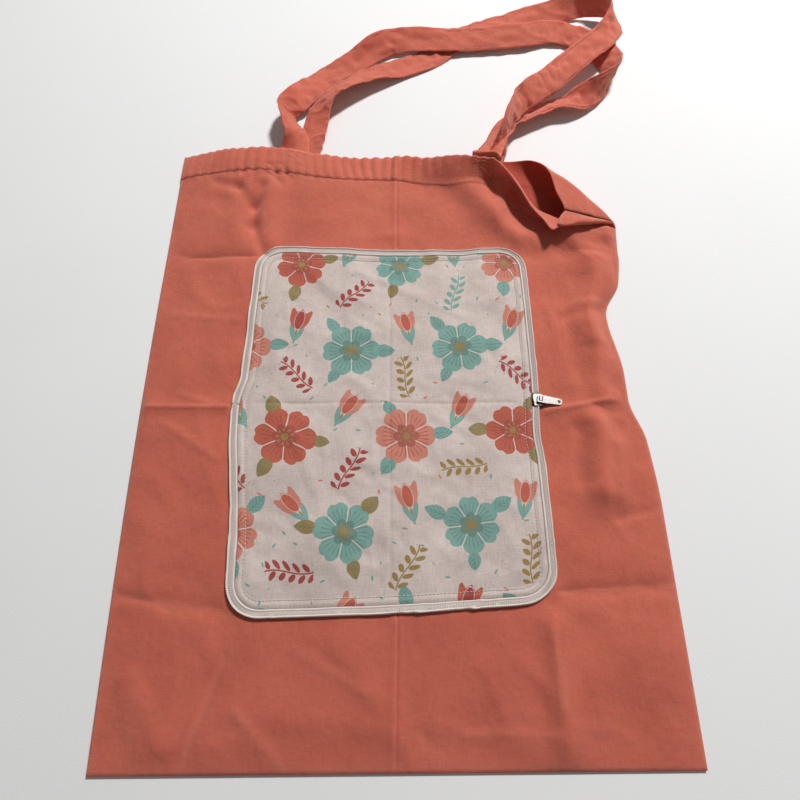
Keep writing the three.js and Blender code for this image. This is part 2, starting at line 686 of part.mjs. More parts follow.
// A frame on the front panel beside the pocket: across the bag, up the bag and outward.
function sliderFrame() {
  const { x, y } = SLIDER_PLACE;
  const outward = sheetNormal(frontPoint, x, y);
  const across = new THREE.Vector3(1, 0, 0).projectOnPlane(outward).normalize();
  const upward = outward.clone().cross(across);
  const place = offsetPoint(frontPoint, x, y, BAG.cloth / 2 + POCKET.lift);
  return new THREE.Matrix4().makeBasis(across, upward, outward).setPosition(place);
}

// The slider's body, wide where the two coils come in, with the post that holds the pull.
function sliderGeometry() {
  const { length, width, tail, height, bevel, corner } = SLIDER;
  const nose = length / 2 - bevel;
  const side = width / 2 - bevel;
  const shoulder = length / 6;
  const outline = new THREE.Shape();
  outline.moveTo(-width / 2 + corner, nose);
  outline.lineTo(width / 2 - corner, nose);
  outline.quadraticCurveTo(side, length / 2 - corner, side, shoulder);
  outline.lineTo(tail / 2, -nose);
  outline.lineTo(-tail / 2, -nose);
  outline.lineTo(-side, shoulder);
  outline.quadraticCurveTo(-side, length / 2 - corner, -width / 2 + corner, nose);
  const body = new THREE.ExtrudeGeometry(outline, {
    depth: height - 2 * bevel,
    bevelThickness: bevel,
    bevelSize: bevel,
    bevelSegments: 1,
    curveSegments: 3,
  });
  body.translate(0, 0, bevel);
  const post = new THREE.BoxGeometry(POST.across, POST.along, height + POST.height);
  post.translate(POST.x, 0, (height + POST.height) / 2 + POST.sunk);
  const slider = joined(body, post);
  slider.applyMatrix4(sliderFrame());
  return slider;
}

// The round hole at the pull's far end, as a ring of straight sides.
function pullHole(centreX) {
  const { radius, sides } = PULL_HOLE;
  const ring = Array.from({ length: sides }, (_, i) => {
    const angle = (-2 * Math.PI * (i + 0.5)) / sides;
    return new THREE.Vector2(centreX + radius * Math.cos(angle), radius * Math.sin(angle));
  });
  return new THREE.Path().setFromPoints(ring);
}

// The slot that goes round the slider's post.
function pullSlot() {
  const half = PULL.slot / 2;
  const halfWidth = (POST.along + 3 * GAP) / 2;
  const slot = new THREE.Path();
  slot.moveTo(-half, -halfWidth);
  slot.lineTo(-half, halfWidth);
  slot.lineTo(half, halfWidth);
  slot.lineTo(half, -halfWidth);
  return slot;
}

// The pull: a thin plate with a slot round the post and a round hole at its far end.
function pullGeometry() {
  const { length, width, tip, thick, slot, corner } = PULL;
  const start = -slot / 2 - corner;
  const tipX = start + length - tip / 2;
  const side = width / 2;
  const outline = new THREE.Shape();
  outline.moveTo(start, -side + corner);
  outline.quadraticCurveTo(start, -side, start + corner, -side);
  outline.lineTo(slot, -side);
  outline.absarc(tipX, 0, tip / 2, -Math.PI / 2, Math.PI / 2, false);
  outline.lineTo(slot, side);
  outline.lineTo(start + corner, side);
  outline.quadraticCurveTo(start, side, start, side - corner);
  outline.holes.push(pullHole(tipX), pullSlot());
  const plate = new THREE.ExtrudeGeometry(outline, {
    depth: thick,
    bevelEnabled: false,
    curveSegments: 5,
  });
  plate.applyMatrix4(new THREE.Matrix4().makeRotationZ(radians(PULL.turn)));
  plate.applyMatrix4(new THREE.Matrix4().makeRotationY(radians(PULL.tilt)));
  plate.translate(POST.x, 0, SLIDER.height + GAP + side * Math.sin(radians(PULL.tilt)));
  plate.applyMatrix4(sliderFrame());
  return plate;
}

const CORAL = { color: 0xd97c68, roughness: 0.9, metalness: 0, side: THREE.DoubleSide };
const PRINTED = { color: 0xe6d9d3, roughness: 0.85, metalness: 0 };
const WHITE_TAPE = { color: 0xe4e0dc, roughness: 0.7, metalness: 0 };
const METAL = { color: 0xb9b7b2, roughness: 0.35, metalness: 1 };

const frontThreads = strapThreads(frontPoint, -1, FRONT_HANDLE_ENDS, FRONT_HANDLE_PATH);
const backThreads = strapThreads(backPoint, 1, BACK_HANDLE_ENDS, BACK_HANDLE_PATH);
const frontPanel = panelGeometry(frontPoint, frontColumns, LIP_FOLD, FRONT_COUNTS);
const backPanel = panelGeometry(backPoint, backColumns, BACK_FOLD, BACK_COUNTS);

const group = new THREE.Group();
group.add(makeMesh('bag_back_panel', backPanel, CORAL));
group.add(makeMesh('bag_front_panel', frontPanel, CORAL));
group.add(makeMesh('front_handle', strapGeometry(frontThreads, HANDLE.steps), CORAL));
group.add(makeMesh('back_handle', strapGeometry(backThreads, HANDLE.steps), CORAL));
group.add(makeMesh('pocket_panel', pocketGeometry(), PRINTED));
group.add(makeMesh('zip_tape_upper', zipGeometry(1), WHITE_TAPE));
group.add(makeMesh('zip_tape_lower', zipGeometry(-1), WHITE_TAPE));
group.add(makeMesh('zip_slider', sliderGeometry(), METAL));
group.add(makeMesh('zip_pull', pullGeometry(), METAL));

export default group;
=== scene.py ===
"""A cotton tote bag that lies on its back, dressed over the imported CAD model.

Lengths are millimetres, as in the CAD source: X runs across the bag, Y from its bottom to its
mouth, Z up. Each sheet is a flat cut cloth with its own x and y, which is folded and draped.
Meshes are scaled to metres as they are made.
"""

import json
from functools import partialmethod

import bpy
import numpy as np
from mathutils import Matrix, Vector

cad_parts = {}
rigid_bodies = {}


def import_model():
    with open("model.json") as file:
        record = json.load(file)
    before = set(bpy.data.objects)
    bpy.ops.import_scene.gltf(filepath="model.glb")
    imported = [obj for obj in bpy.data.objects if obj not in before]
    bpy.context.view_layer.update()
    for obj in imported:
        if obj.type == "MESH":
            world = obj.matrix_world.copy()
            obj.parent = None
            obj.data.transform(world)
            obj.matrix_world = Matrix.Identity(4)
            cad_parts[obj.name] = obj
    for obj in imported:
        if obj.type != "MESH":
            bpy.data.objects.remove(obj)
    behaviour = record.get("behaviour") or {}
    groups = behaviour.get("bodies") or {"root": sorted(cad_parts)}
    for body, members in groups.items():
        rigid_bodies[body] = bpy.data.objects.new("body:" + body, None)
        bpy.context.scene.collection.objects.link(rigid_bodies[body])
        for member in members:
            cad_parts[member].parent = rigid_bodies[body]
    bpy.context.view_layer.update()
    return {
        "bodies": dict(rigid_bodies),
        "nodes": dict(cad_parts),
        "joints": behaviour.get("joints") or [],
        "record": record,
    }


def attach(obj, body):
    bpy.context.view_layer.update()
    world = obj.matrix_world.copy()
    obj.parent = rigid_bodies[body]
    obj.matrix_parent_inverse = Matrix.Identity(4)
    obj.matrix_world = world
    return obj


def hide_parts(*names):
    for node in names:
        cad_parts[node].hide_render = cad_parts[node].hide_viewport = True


MM = 0.001
HALF_WIDTH, HALF_HEIGHT = 190.0, 242.5
HEM_LINE = HALF_HEIGHT - 25.0
CLOTH, HEM_CLOTH = 1.0, 1.7
GAP, SEAM_GAP, FLOOR_GAP = 0.2, 0.1, 0.02

# How the bag lies: the air in it, how it closes at its edges, and how far in its edges draw it.
PUFF, PUFF_REACH = 2.2, 60
SIDE_POWER, BOTTOM_POWER = 10, 6
FOLD_ROOM = 3
LEFT_BULGE = 3.5
SIDE_REACH, RIM_REACH, SEAM_REACH = 90.0, 110.0, 46.0
CORNER_LINE = 190.0
CREST = 0.15
PRESSED = 1.7

# Where a part of the shape sets in, and over which length it grows.
SEAM_RISE = (125, 18)
DRAWN_LINE = (80, 90)
CORNER_PART = {"x": (20, 60), "y": (140, 40)}
LIP_START = 168.0
LIP_ASIDE_RISE = (132, 42)
LIP_ENDS = ((84, 22), (172, 18))
THICK_HEM = (HEM_LINE - 1, 2)
PUCKERED_HEM = (HEM_LINE - 8, 9)

STRAP = {"width": 25.0, "cloth": 1.5, "sewn": 20.0, "backing": 0.6, "seam": 2.6, "over_floor": 0.1}
STRAP_EDGE = {"thinner": 0.45, "power": 8}
STRAP_PRESSED = 30
# Places across a strap, from one edge to the other, and along its ends inside the hem.
THREADS = np.array([-1, -0.5, 0, 0.5, 1])
SEWN_PARTS = np.array([1, 0.7, 0.4, 0.05, -0.2])
INNER_PARTS = SEWN_PARTS[:3]
FRONT_HANDLE_ENDS, BACK_HANDLE_ENDS = (-88, 80), (-80, 86)
POCKET = {"x": -4.0, "y": -5.0, "cloth": 1.2, "edge": 1.0, "edge_drop": 0.4, "fill": 0.5}
POCKET_HALF_WIDTH, POCKET_HALF_HEIGHT, CORNER = 107.5, 139.5, 18.0
CORNER_X, CORNER_Y = POCKET_HALF_WIDTH - CORNER, POCKET_HALF_HEIGHT - CORNER
POCKET_BASE = CLOTH / 2 + 0.7
POCKET_SEAM, POCKET_INNER = 5.2, (6, 12)
SLIDER = {"y": 1.5, "length": 10.0}
ZIP_MEETS = -1.0
TAPE_STEP = 1.6
COIL = {"from": 2.0, "to": 4.5, "height": 1.4, "radius": 0.42, "pitch": 1.2, "lean": 0.42}
TAPE_SECTION = {
    "out": (0.2, 0.5, 0.9, 1.4, 1.8, 2.2, 4.3, 4.6, 4.9, 5.3, 5.8, 6.15),
    "height": (0.7, 1.5, 1.8, 1.75, 1.4, 1.05, 1.05, 1.5, 2.2, 2.5, 2.3, 1.0),
}
# Soft ridges, or troughs where the height is under zero: height, place and width.
STRAP_GROOVE, STRAP_PUCKER = (-0.3, STRAP["seam"], 0.9), (1, STRAP["seam"], 2.2)
POCKET_GROOVE, POCKET_ROLL = (-0.45, POCKET_SEAM, 1.1), (0.5, 2.6, 1.6)
POCKET_CREASES = {"x": (-0.5, 0, 1.6), "y": (-0.5, 5, 1.6)}

STITCH = {"pitch": 2.7, "length": 1.9, "radius": 0.28}
POCKET_STITCH = {"pitch": 2.5, "length": 1.5, "radius": 0.3}
WOBBLE = 0.036
# How high the stitches lie over the middle of the cloth.
ON_POCKET, ON_HEM = POCKET["cloth"] / 2 + 0.02, HEM_CLOTH / 2 + 0.05
ON_STRAP = STRAP["cloth"] / 2 - 0.22
HEM_SEAM = 1.8
BOX_STITCH = {"half_width": 10.5, "bottom": 3.2, "top": 3.5}
# A stitch's rings: the part of its length, and the part of its radius.
RINGS = ((0.0, 0.6), (0.18, 0.95), (0.5, 1.08), (0.82, 0.95), (1.0, 0.6))
RING_SIDES = 6
WORN = {"edge": 1.6, "hem": 1.2, "part": 0.5}
TAPER = {"reach": 1.2, "part": 0.5}
RANDOM = np.random.default_rng(7)

# Finer grid lines round a place: the place, the reach round it, and how much finer.
FINE_COLUMNS = ((2, 5, 2.5), (-190, 6, 0.6))
FINE_ROWS = ((134, 6, 1.2), (-2, 6, 1.2), (-140, 9, 1.0))
POCKET_FINE_ROWS = ((5, 4, 2.5),)
POCKET_FINE_COLUMNS = ((0, 0.035, 2.5), (-1, 0.09, 1.5), (1, 0.09, 1.5))
# Rows of a panel's grid in its body, its bend and its flap.
FRONT_ROWS, BACK_ROWS = (190, 26, 28), (90, 30, 24)
LEAST_BEND, LEAST_FLAP = 8, 4
NOISE_CELLS = 96


def table(text):
    """The columns of a table by name: a line of names and then rows of numbers."""
    names, *rows = text.strip().splitlines()
    return dict(zip(names.split(), np.array([row.split() for row in rows], float).T))


FRONT_LAYERS = table("""
sharp height size seed stretch slant_x slant_y
0 1.5 46 3 1 0 0
0 0.8 19 4 1 0 0
1 0.8 34 5 1 0.4 0
1 0.35 15 6 1 0 -0.5
""")
LIP_LAYERS = table("""
sharp height size seed stretch slant_x slant_y
0 0.8 17 14 1 0 0
0 0.4 8 15 1 0 0
""")
STRAP_LAYERS = table("""
sharp height size seed stretch slant_x slant_y
0 1.0 8 31 1.3 0 0
1 1.1 13 32 1 0.5 0
""")
STRAP_SEAM_LAYERS = table("""
sharp height size seed stretch slant_x slant_y
0 0.7 3.6 33 1 0 0
""")
POCKET_LAYERS = table("""
sharp height size seed stretch slant_x slant_y
0 0.9 30 11 1 0 0
1 0.5 24 12 1 0 0.5
0 0.35 11 13 1 1 0
""")
WRINKLE_SHARPNESS = 2.2
# The gathers along the hem, and the sizes and seeds of the noise in their places and heights.
PUCKERS = {"height": 1.2, "turn": 0.74, "shift": 3, "least": 0.6, "spread": 0.5}
SHIFT_NOISE, SPREAD_NOISE = (34, 8), (26, 9)

LIP_FOLD = table("""
x y turn radius
-10 213.5 0 20
25 210.5 15 20
54 204.5 34 12
86 205 67 6
108 205 118 5
130 200 153 4.5
152 186 162 4
171 168 168 3.2
190 158 176 2.4
""")
TIP_FOLD = table("""
x y turn radius
160 240 120 1.8
171 217.5 140 1.8
190 166 160 1.6
""")
BACK_FOLD = table("""
x y turn radius
84 245 140 10
98 234 168 12
131 203 174 12.5
152 184 176 11.5
172 169 177 8
190 159 176 5
""")
# Where the top of the right side seam lies, by its place y on the cloth.
SEAM_TOP = table("""
y px py pz side
125 190 114 1.5 0
160 190 138 1.5 0
178 190.5 152 2.6 20
190 190 161 6.5 90
200 186 163 11.5 90
218 168 164.5 16.5 90
242.5 143 167 22 90
""")
# The curled lip at the open side of the mouth: where the edge of the cloth lies, by its place x
# on the flat cloth, and the way from that edge back into the lip.
LIP_EDGE = table("""
x px py pz back_x back_y back_z
88 84.7 216 28 4 3 -22
100 94.7 205.5 28 10 9 -24
112 101.9 195.5 26.5 12 17 -22
127 109.3 182.9 24.5 9 22 -21
145 117.3 168.2 22 8 21 -19
156 123.5 160.2 21 9 20 -17
168 131 148 21 16 18 -14
180 137.5 158 21.5 36 6 -12
190 143 167 22 46 -4 -9
""")
# How far the cloth is drawn to the left under the lip.
LIP_ASIDE = table("""
x dx
86 0
118 -13
140 -19
158 -18
176 -6
190 0
""")
RIGHT_EDGE = table("""
y dx
-243 1
-83 1
-30 -2
4 -11
24 -11
76 -18
112 -4
150 0
""")
POCKET_SIDES = table("""
y left right
-140 3 0
-104 2 0
-42 -2.5 0
-22 -4.5 -1.7
4 -5.5 0
26 -1 1
62 0 1
127 2 0
""")
POCKET_ENDS = table("""
x top bottom
-107 3 -2.5
0 -1.5 0
100 4 5.5
""")
RIM = table("""
x dy rise
-190 0 1
-165 2 5
-120 3 10.5
-92 1 9
-66 -2 6.5
-30 -2.5 1
10 -4 1
34 -9 1.5
54 -13 2
86 -12 2.5
118 -9 2
135 -12 1
150 -16 0
171 -25 0
190 -27 0
""")
BACK_RIM = table("""
x dy
80 0
105 -5
124 -8
140 -13
155 -18
171 -25
190 -27
""")

# Creases and soft folds: where a line starts and ends, its width and its height.
CREASES = table("""
x0 y0 x1 y1 width height
3 242 2 150 7 1.1
1 -155 -1 -242 7 1.1
-192 134 -122 134 7 -1.5
-192 -1 -128 -2 9 1.8
120 -6 178 3 10 2.2
-192 -136 -122 -146 8 -1.4
118 -137 190 -134 8 -2
-156 215 -116 160 16 -1.2
-157 211 -136 204 6 -3
-136 204 -124 188 7 -3.6
-115 204 -121 184 7.5 -4.4
-121 184 -121 164 6.5 -4
-121 164 -110 136 7.5 -4
-141 196 -131 150 12 2
-108 196 -104 150 12 2
22 224 82 152 20 -2
52 226 106 152 22 3
112 150 188 152 16 5
158 190 192 158 13 2.4
150 110 148 30 16 -1.6
176 128 186 100 10 2.4
152 -18 146 -66 12 3.8
138 -22 134 -60 9 -1.8
166 -34 162 -72 9 2.6
158 -88 190 -81 5 -2
170 146 187 144 6 -1.8
140 73 184 80 7 -1.4
-110 -152 -131 -236 14 -2
-103 -205 -80 -240 12 1.8
-83 -212 -4 -220 12 1.2
104 -158 105 -242 12 3
128 -160 150 -226 16 -1.6
-40 -168 -10 -206 10 1.4
-170 -190 -146 -226 10 1.5
""")
# Folds with a sharp crest: steep on one side, the right of a line that runs up the bag, and
# gentle on the other.
SHARP_FOLDS = table("""
x0 y0 x1 y1 steep gentle height
166 150 164 126 12 18 4.5
164 126 171 85 15 18 8
171 85 171 52 16 17 9.5
171 52 164 13 14 18 8
156 -16 150 -68 13 16 6
-115 204 -121 186 5 16 2.4
-121 186 -121 164 5 16 3
-121 164 -116 140 6 16 2.6
-157 210 -136 203 4 12 2
-136 203 -123 187 4.5 12 2.2
172 158 186 144 4 10 1.8
44 209 66 197 14 22 4
66 197 88 168 14 22 5.5
148 -10 178 -14 5 9 1.2
103 -161 105 -238 7 18 1.6
-110 -154 -131 -234 7 18 1.4
""")
# Pressed creases and small wrinkles, finer than the solids show.
FINE_CREASES = table("""
x0 y0 x1 y1 width height
3 242 2 141 1.6 -0.6
1 -150 -1 -243 1.6 -0.6
-190 134 -117 134 2.2 -0.6
-191 -1 -125 -2 2.2 0.7
113 -7 177 2 2.4 0.8
-192 -136 -157 -143 2.2 -0.6
-157 -143 -119 -147 2.2 -0.6
110 -137 190 -134 2.2 -0.6
-175 79 -124 73 3 0.5
-110 226 -102 216 2.4 -1.2
-101 226 -90 211 2.6 -0.9
-162 10 -142 2 3 0.6
-171 -14 -129 -42 3.4 0.6
-102 -207 -69 -241 3 0.6
-67 -171 -20 -198 4 0.5
42 -221 101 -222 3 0.5
16 -222 32 -238 3 -0.5
189 -83 164 -88 3 0.6
-109 216 -99 207 3.2 -1.2
-112 -176 -132 -236 3 -0.7
103 -161 105 -207 3.5 0.8
""")

# The straps' free lengths: the middle of the strap, and how far its left edge is rolled up.
FRONT_STRAP = table("""
x y z roll
-88.5 262 14 36
-94.5 275 14.5 52
-99 289 14 54
-91 304 12 35
-72 333 6 2
-40 358 6 12
-15 377 10 40
8 387 8.5 22
66 388 8.5 14
127 394 8.5 17
162 401 7 14
194 388 6 14
211 362 8 32
212 337 12.5 78
197 318 13.5 114
180 310 10 160
165 305 8.5 202
148 302 8 210
130 293.5 8 208
118 287 8 208
108.5 281.5 8.5 210
102 272 9.5 215
95.5 259.5 11.5 214
88.7 245 17 208
83.4 232 21 195
""")
BACK_STRAP = table("""
x y z roll
-75 264 4.6 -12
-71 283 6.8 -18
-67 299 10.5 -26
-54 316 13 -32
-26 338 9 -16
6 355 3 0
38 372 1.6 0
74 403 1.6 0
116 421 2 0
160 430 6 20
194 434 13.5 62
217 424 17 100
220 402 19 140
206 379 20 165
182 356 20 168
158 331 20 162
142 314 21 152
127 301 23 140
116 289 23 126
108.5 275 27 114
103 262.5 28 103
99.8 253 24 102
97.5 246.5 18 107
95.2 241 13.5 114
""")


def ease(t):
    t = np.clip(t, 0, 1)
    return t * t * (3 - 2 * t)


def ramp(at, start, reach):
    """0 up to a start, 1 from a reach beyond it, and a smooth rise between."""
    return ease((at - start) / reach)


def lerp(a, b, t):
    return a + (b - a) * t


def bell(distance, width):
    return np.exp(-((distance / width) ** 2))


def bump(at, height, place, width):
    """The height of a soft ridge, or of a trough where it is under zero."""
    return height * bell(at - place, width)


def stacked(*parts):
    """Points from their coordinates."""
    return np.stack(np.broadcast_arrays(*parts), axis=-1)


def lengths(vectors):
    return np.linalg.norm(vectors, axis=-1, keepdims=True)


def unit(vectors):
    return vectors / lengths(vectors)


def run_along(points):
    """How far each point of a line is along it."""
    return np.concatenate([[0], np.cumsum(lengths(np.diff(points, axis=0)))])


def points_at(line, run, at):
    """The points of a line at distances along it."""
    return stacked(*(np.interp(at, run, column) for column in line.T))


def run_of(rows):
    """The way from the row before each row to the row after it."""
    ends = np.concatenate([rows[:1], rows, rows[-1:]])
    return ends[2:] - ends[:-2]


def curve_between(start, end, leave, arrive, t):
    """A smooth curve from start to end, by the slopes at which it leaves and arrives."""
    back = 1 - t
    ends = start * (1 + 2 * t) * back**2 + end * t * t * (3 - 2 * t)
    return ends + leave * t * back**2 - arrive * t * t * back


def look_up(rows, at, column):
    """A column of a table at places along its first, on a smooth curve that passes no row."""
    places, values = next(iter(rows.values())), rows[column]
    slopes = np.diff(values) / np.diff(places)
    before, after = slopes[:-1], slopes[1:]
    total = np.where(before + after == 0, 1, before + after)
    middle = np.where(before * after <= 0, 0, 2 * before * after / total)
    tangents = np.concatenate([slopes[:1], middle, slopes[-1:]])
    i = np.clip(np.searchsorted(places, at) - 1, 0, len(places) - 2)
    step = places[i + 1] - places[i]
    t = np.clip((at - places[i]) / step, 0, 1)
    return curve_between(values[i], values[i + 1], tangents[i] * step, tangents[i + 1] * step, t)


def look_up_all(rows, at):
    """All the other columns of a table at places along its first."""
    return [look_up(rows, at, column) for column in list(rows)[1:]]


def fold_at(fold, x):
    """A fold at places across the bag: where its line is, how it slants, its turn and its bend."""
    inside = np.clip(x, fold["x"][0] + 1, fold["x"][-1] - 1)
    drop = look_up(fold, inside - 1, "y") - look_up(fold, inside + 1, "y")
    line, turn, radius = look_up_all(fold, x)
    return line, np.arctan2(drop, 2), np.radians(turn), radius


def fold_over(points, fold, sign):
    """Folds the cloth beyond a line over, up for sign 1 or down for -1, round a bend."""
    x, y, z = np.moveaxis(points, -1, 0)
    line, slant, turn, radius = fold_at(fold, x)
    sine, cosine = np.sin(slant), np.cos(slant)
    aside = np.maximum(y - line, 0) * sine
    beyond = np.maximum(y - line, 0) * cosine
    bent = np.minimum(beyond / radius, turn)
    rest = np.maximum(0, beyond - radius * turn)
    arm = radius - sign * z
    reach = arm * np.sin(bent) + rest * np.cos(bent)
    rise = radius - arm * np.cos(bent) + rest * np.sin(bent)
    folded_x = x - cosine * aside + sine * reach
    folded = stacked(folded_x, line + sine * aside + cosine * reach, sign * rise)
    return np.where(((y > line) & (turn > 0))[..., None], folded, points)


def half_cloth(y):
    """Half the cloth's thickness at a height on the flat panel, more in the hem at the mouth."""
    return lerp(CLOTH, HEM_CLOTH, ramp(y, *THICK_HEM)) / 2


def beside_line(x, y, x0, y0, x1, y1):
    """Where places lie by a line: how far to its right, and how far past its ends."""
    length = np.hypot(x1 - x0, y1 - y0)
    run_x, run_y = (x1 - x0) / length, (y1 - y0) / length
    along = (x - x0) * run_x + (y - y0) * run_y
    aside = (x - x0) * run_y - (y - y0) * run_x
    return aside, np.maximum(0, np.maximum(-along, along - length))


def crease_heights(creases, x, y):
    """The heights of all creases at places: soft ridges or troughs that die out at their ends."""
    total = np.zeros_like(x)
    for *line, width, height in zip(*creases.values()):
        total += height * bell(np.hypot(*beside_line(x, y, *line)), width) ** 2
    return total


def sharp_heights(folds, x, y):
    """The heights of the folds with a sharp crest; where two meet, the higher one counts."""
    total = np.zeros_like(x)
    for *line, steep, gentle, height in zip(*folds.values()):
        aside, past = beside_line(x, y, *line)
        falling = np.exp(CREST - np.hypot(aside / steep, CREST))
        rising = bell(aside, gentle) ** 2
        part = np.where(aside > 0, falling, rising) * bell(past, gentle) ** 2
        total = np.maximum(total, height * part)
    return total


def cloth_noise(x, y, size, seed):
    """Smooth unevenness from -1 to 1 with bumps of a given size, the same on each run."""
    grid = np.random.default_rng(int(seed)).uniform(-1, 1, (NOISE_CELLS + 1, NOISE_CELLS + 1))
    u, v = x / size + NOISE_CELLS / 2, y / size + NOISE_CELLS / 2
    i, j = np.floor(u).astype(int), np.floor(v).astype(int)
    s, t = ease(u - i), ease(v - j)
    i, j = i % NOISE_CELLS, j % NOISE_CELLS
    low = lerp(grid[i, j], grid[i + 1, j], s)
    high = lerp(grid[i, j + 1], grid[i + 1, j + 1], s)
    return lerp(low, high, t)


def unevenness(layers, x, y):
    """The summed heights of layers of soft bumps or, where a layer is sharp, pointed wrinkles."""
    total = np.zeros_like(x)
    for sharp, height, size, seed, stretch, slant_x, slant_y in zip(*layers.values()):
        noise = cloth_noise(x * stretch + slant_x * y, y + slant_y * x, size, seed)
        if sharp:
            noise = np.maximum(0, 1 - WRINKLE_SHARPNESS * np.abs(noise))
        total += height * noise
    return total


def hem_puckers(x, y):
    """Small gathers along the hem seam, uneven in their places and heights."""
    shift = PUCKERS["shift"] * cloth_noise(x, y, *SHIFT_NOISE)
    height = PUCKERS["least"] + PUCKERS["spread"] * cloth_noise(x, y, *SPREAD_NOISE)
    waves = np.sin(x * PUCKERS["turn"] + shift) * height
    return PUCKERS["height"] * waves * ramp(y, *PUCKERED_HEM)


def open_room(x, y):
    """1 inside the bag and 0 at its sewn sides and bottom."""
    in_x = 1 - np.minimum(1, np.abs(x / HALF_WIDTH)) ** SIDE_POWER
    return in_x * (1 - np.clip(-y / HALF_HEIGHT, 0, 1) ** BOTTOM_POWER)


def front_height(x, y):
    """How far the front panel stands over the back panel, at places seen from above."""
    room = open_room(x, y)
    folds = crease_heights(CREASES, x, y) + sharp_heights(SHARP_FOLDS, x, y)
    folds += PRESSED * crease_heights(FINE_CREASES, x, y)
    folds += unevenness(FRONT_LAYERS, x, y) + hem_puckers(x, y)
    puff = PUFF * room * ease((HALF_HEIGHT - y) / PUFF_REACH)
    rise = look_up(RIM, x, "rise") * (1 - ease((HALF_HEIGHT - y) / RIM_REACH))
    return np.maximum(0, puff + rise + folds * np.minimum(1, FOLD_ROOM * room))


def edge_shift(x, y):
    """How far a place on the flat cloth is drawn aside as the bag is laid down."""
    near_right, near_left = (ease(1 - (HALF_WIDTH - side * x) / SIDE_REACH) for side in (1, -1))
    bulge = LEFT_BULGE * np.cos(y / HALF_HEIGHT * np.pi / 2)
    return near_right * look_up(RIGHT_EDGE, y, "dx") - near_left * bulge


def drawn_down(x, y, rim):
    """A place on the cloth as it is drawn up or down the bag, the most at the mouth's edge."""
    line = lerp(HEM_LINE, CORNER_LINE, ramp(x, *DRAWN_LINE))
    part = 1 - ease((line - y) / RIM_REACH)
    return stacked(x, y + look_up(rim, x, "dy") * part, 0)


def folded_front(x, y):
    lip = fold_over(fold_over(drawn_down(x, y, RIM), TIP_FOLD, -1), LIP_FOLD, 1)
    lip[..., 2] += 3 * half_cloth(y) + GAP + front_height(lip[..., 0], lip[..., 1])
    lip[..., 0] += look_up(LIP_ASIDE, x, "dx") * ramp(y, *LIP_ASIDE_RISE)
    return lip


def folded_back(x, y):
    corner = fold_over(drawn_down(x, y, BACK_RIM), BACK_FOLD, 1)
    corner[..., 2] += half_cloth(y)
    return corner


def settled(folded, x, y, side):
    """A panel's places with its side seam closed and its edges as they really lie."""
    point = folded(x, y)
    strength = ease(1 - (HALF_WIDTH - x) / SEAM_REACH) * ramp(y, *SEAM_RISE)
    seam_x, seam_y, seam_z, turn = look_up_all(SEAM_TOP, y)
    angle = np.radians(turn)
    apart = side * (half_cloth(y) + SEAM_GAP)
    goal = stacked(seam_x, seam_y - apart * np.sin(angle), seam_z + apart * np.cos(angle))
    point += (goal - folded(np.full_like(x, HALF_WIDTH), y)) * strength[..., None]
    corner = ramp(x, *CORNER_PART["x"]) * ramp(y, *CORNER_PART["y"])
    point[..., 0] += edge_shift(x, y) * (1 - corner)
    return point


def curled_lip(x, y):
    """The front panel's lip where it stands and curls back, on a smooth curve out of the panel."""
    reach = HALF_HEIGHT - LIP_START
    foot = np.full_like(x, LIP_START)
    start = settled(folded_front, x, foot, 1)
    rise = (start - settled(folded_front, x, foot - 1, 1)) * reach / 3
    columns = look_up_all(LIP_EDGE, x)
    edge, back = stacked(*columns[:3]), stacked(*columns[3:])
    t = np.clip((y - LIP_START) / reach, 0, 1)[..., None]
    curve = start * (1 - t) ** 3 + (start + rise) * 3 * t * (1 - t) ** 2
    curve += (edge + back) * 3 * t * t * (1 - t) + edge * t**3
    curve[..., 2] += unevenness(LIP_LAYERS, x, y) * np.minimum(1, 3 * t[..., 0])
    return curve


def front_point(x, y):
    """The middle of the front panel's cloth, from its place on the flat cloth."""
    left, right = LIP_ENDS
    part = ramp(x, *left) * (1 - ramp(x, *right)) * (y > LIP_START)
    return lerp(settled(folded_front, x, y, 1), curled_lip(x, y), part[..., None])


def back_point(x, y):
    """The middle of the back panel's cloth."""
    point = settled(folded_back, x, y, -1)
    point[..., 2] = np.maximum(point[..., 2], half_cloth(y))
    return point


def sheet_normal(surface, x, y):
    step = 0.5
    along_x = surface(x + step, y) - surface(x - step, y)
    along_y = surface(x, y + step) - surface(x, y - step)
    return unit(np.cross(along_x, along_y))


def offset(surface, x, y, distance):
    """Places at a distance over a surface."""
    distance = np.broadcast_to(distance, np.shape(x))[..., None]
    return surface(x, y) + sheet_normal(surface, x, y) * distance


# Meshes


def link(name, data):
    """A new object in the scene."""
    piece = bpy.data.objects.new(name, data)
    bpy.context.scene.collection.objects.link(piece)
    return piece


def add_object(name, points, faces, **values):
    """A smooth mesh object from points in millimetres, with values at its points by name."""
    mesh = bpy.data.meshes.new(name)
    mesh.from_pydata((points * MM).tolist(), [], faces.tolist())
    mesh.shade_smooth()
    for key, value in values.items():
        kind, entry = ("FLOAT_VECTOR", "vector") if value.ndim > 1 else ("FLOAT", "value")
        attribute = mesh.attributes.new(key, kind, "POINT")
        attribute.data.foreach_set(entry, value.astype(np.float32).ravel())
    mesh.update()
    return link(name, mesh)


def grid_faces(rows, columns, first=0):
    i, j = np.meshgrid(np.arange(rows - 1), np.arange(columns - 1), indexing="ij")
    corner = first + i * columns + j
    return stacked(corner, corner + 1, corner + columns + 1, corner + columns).reshape(-1, 4)


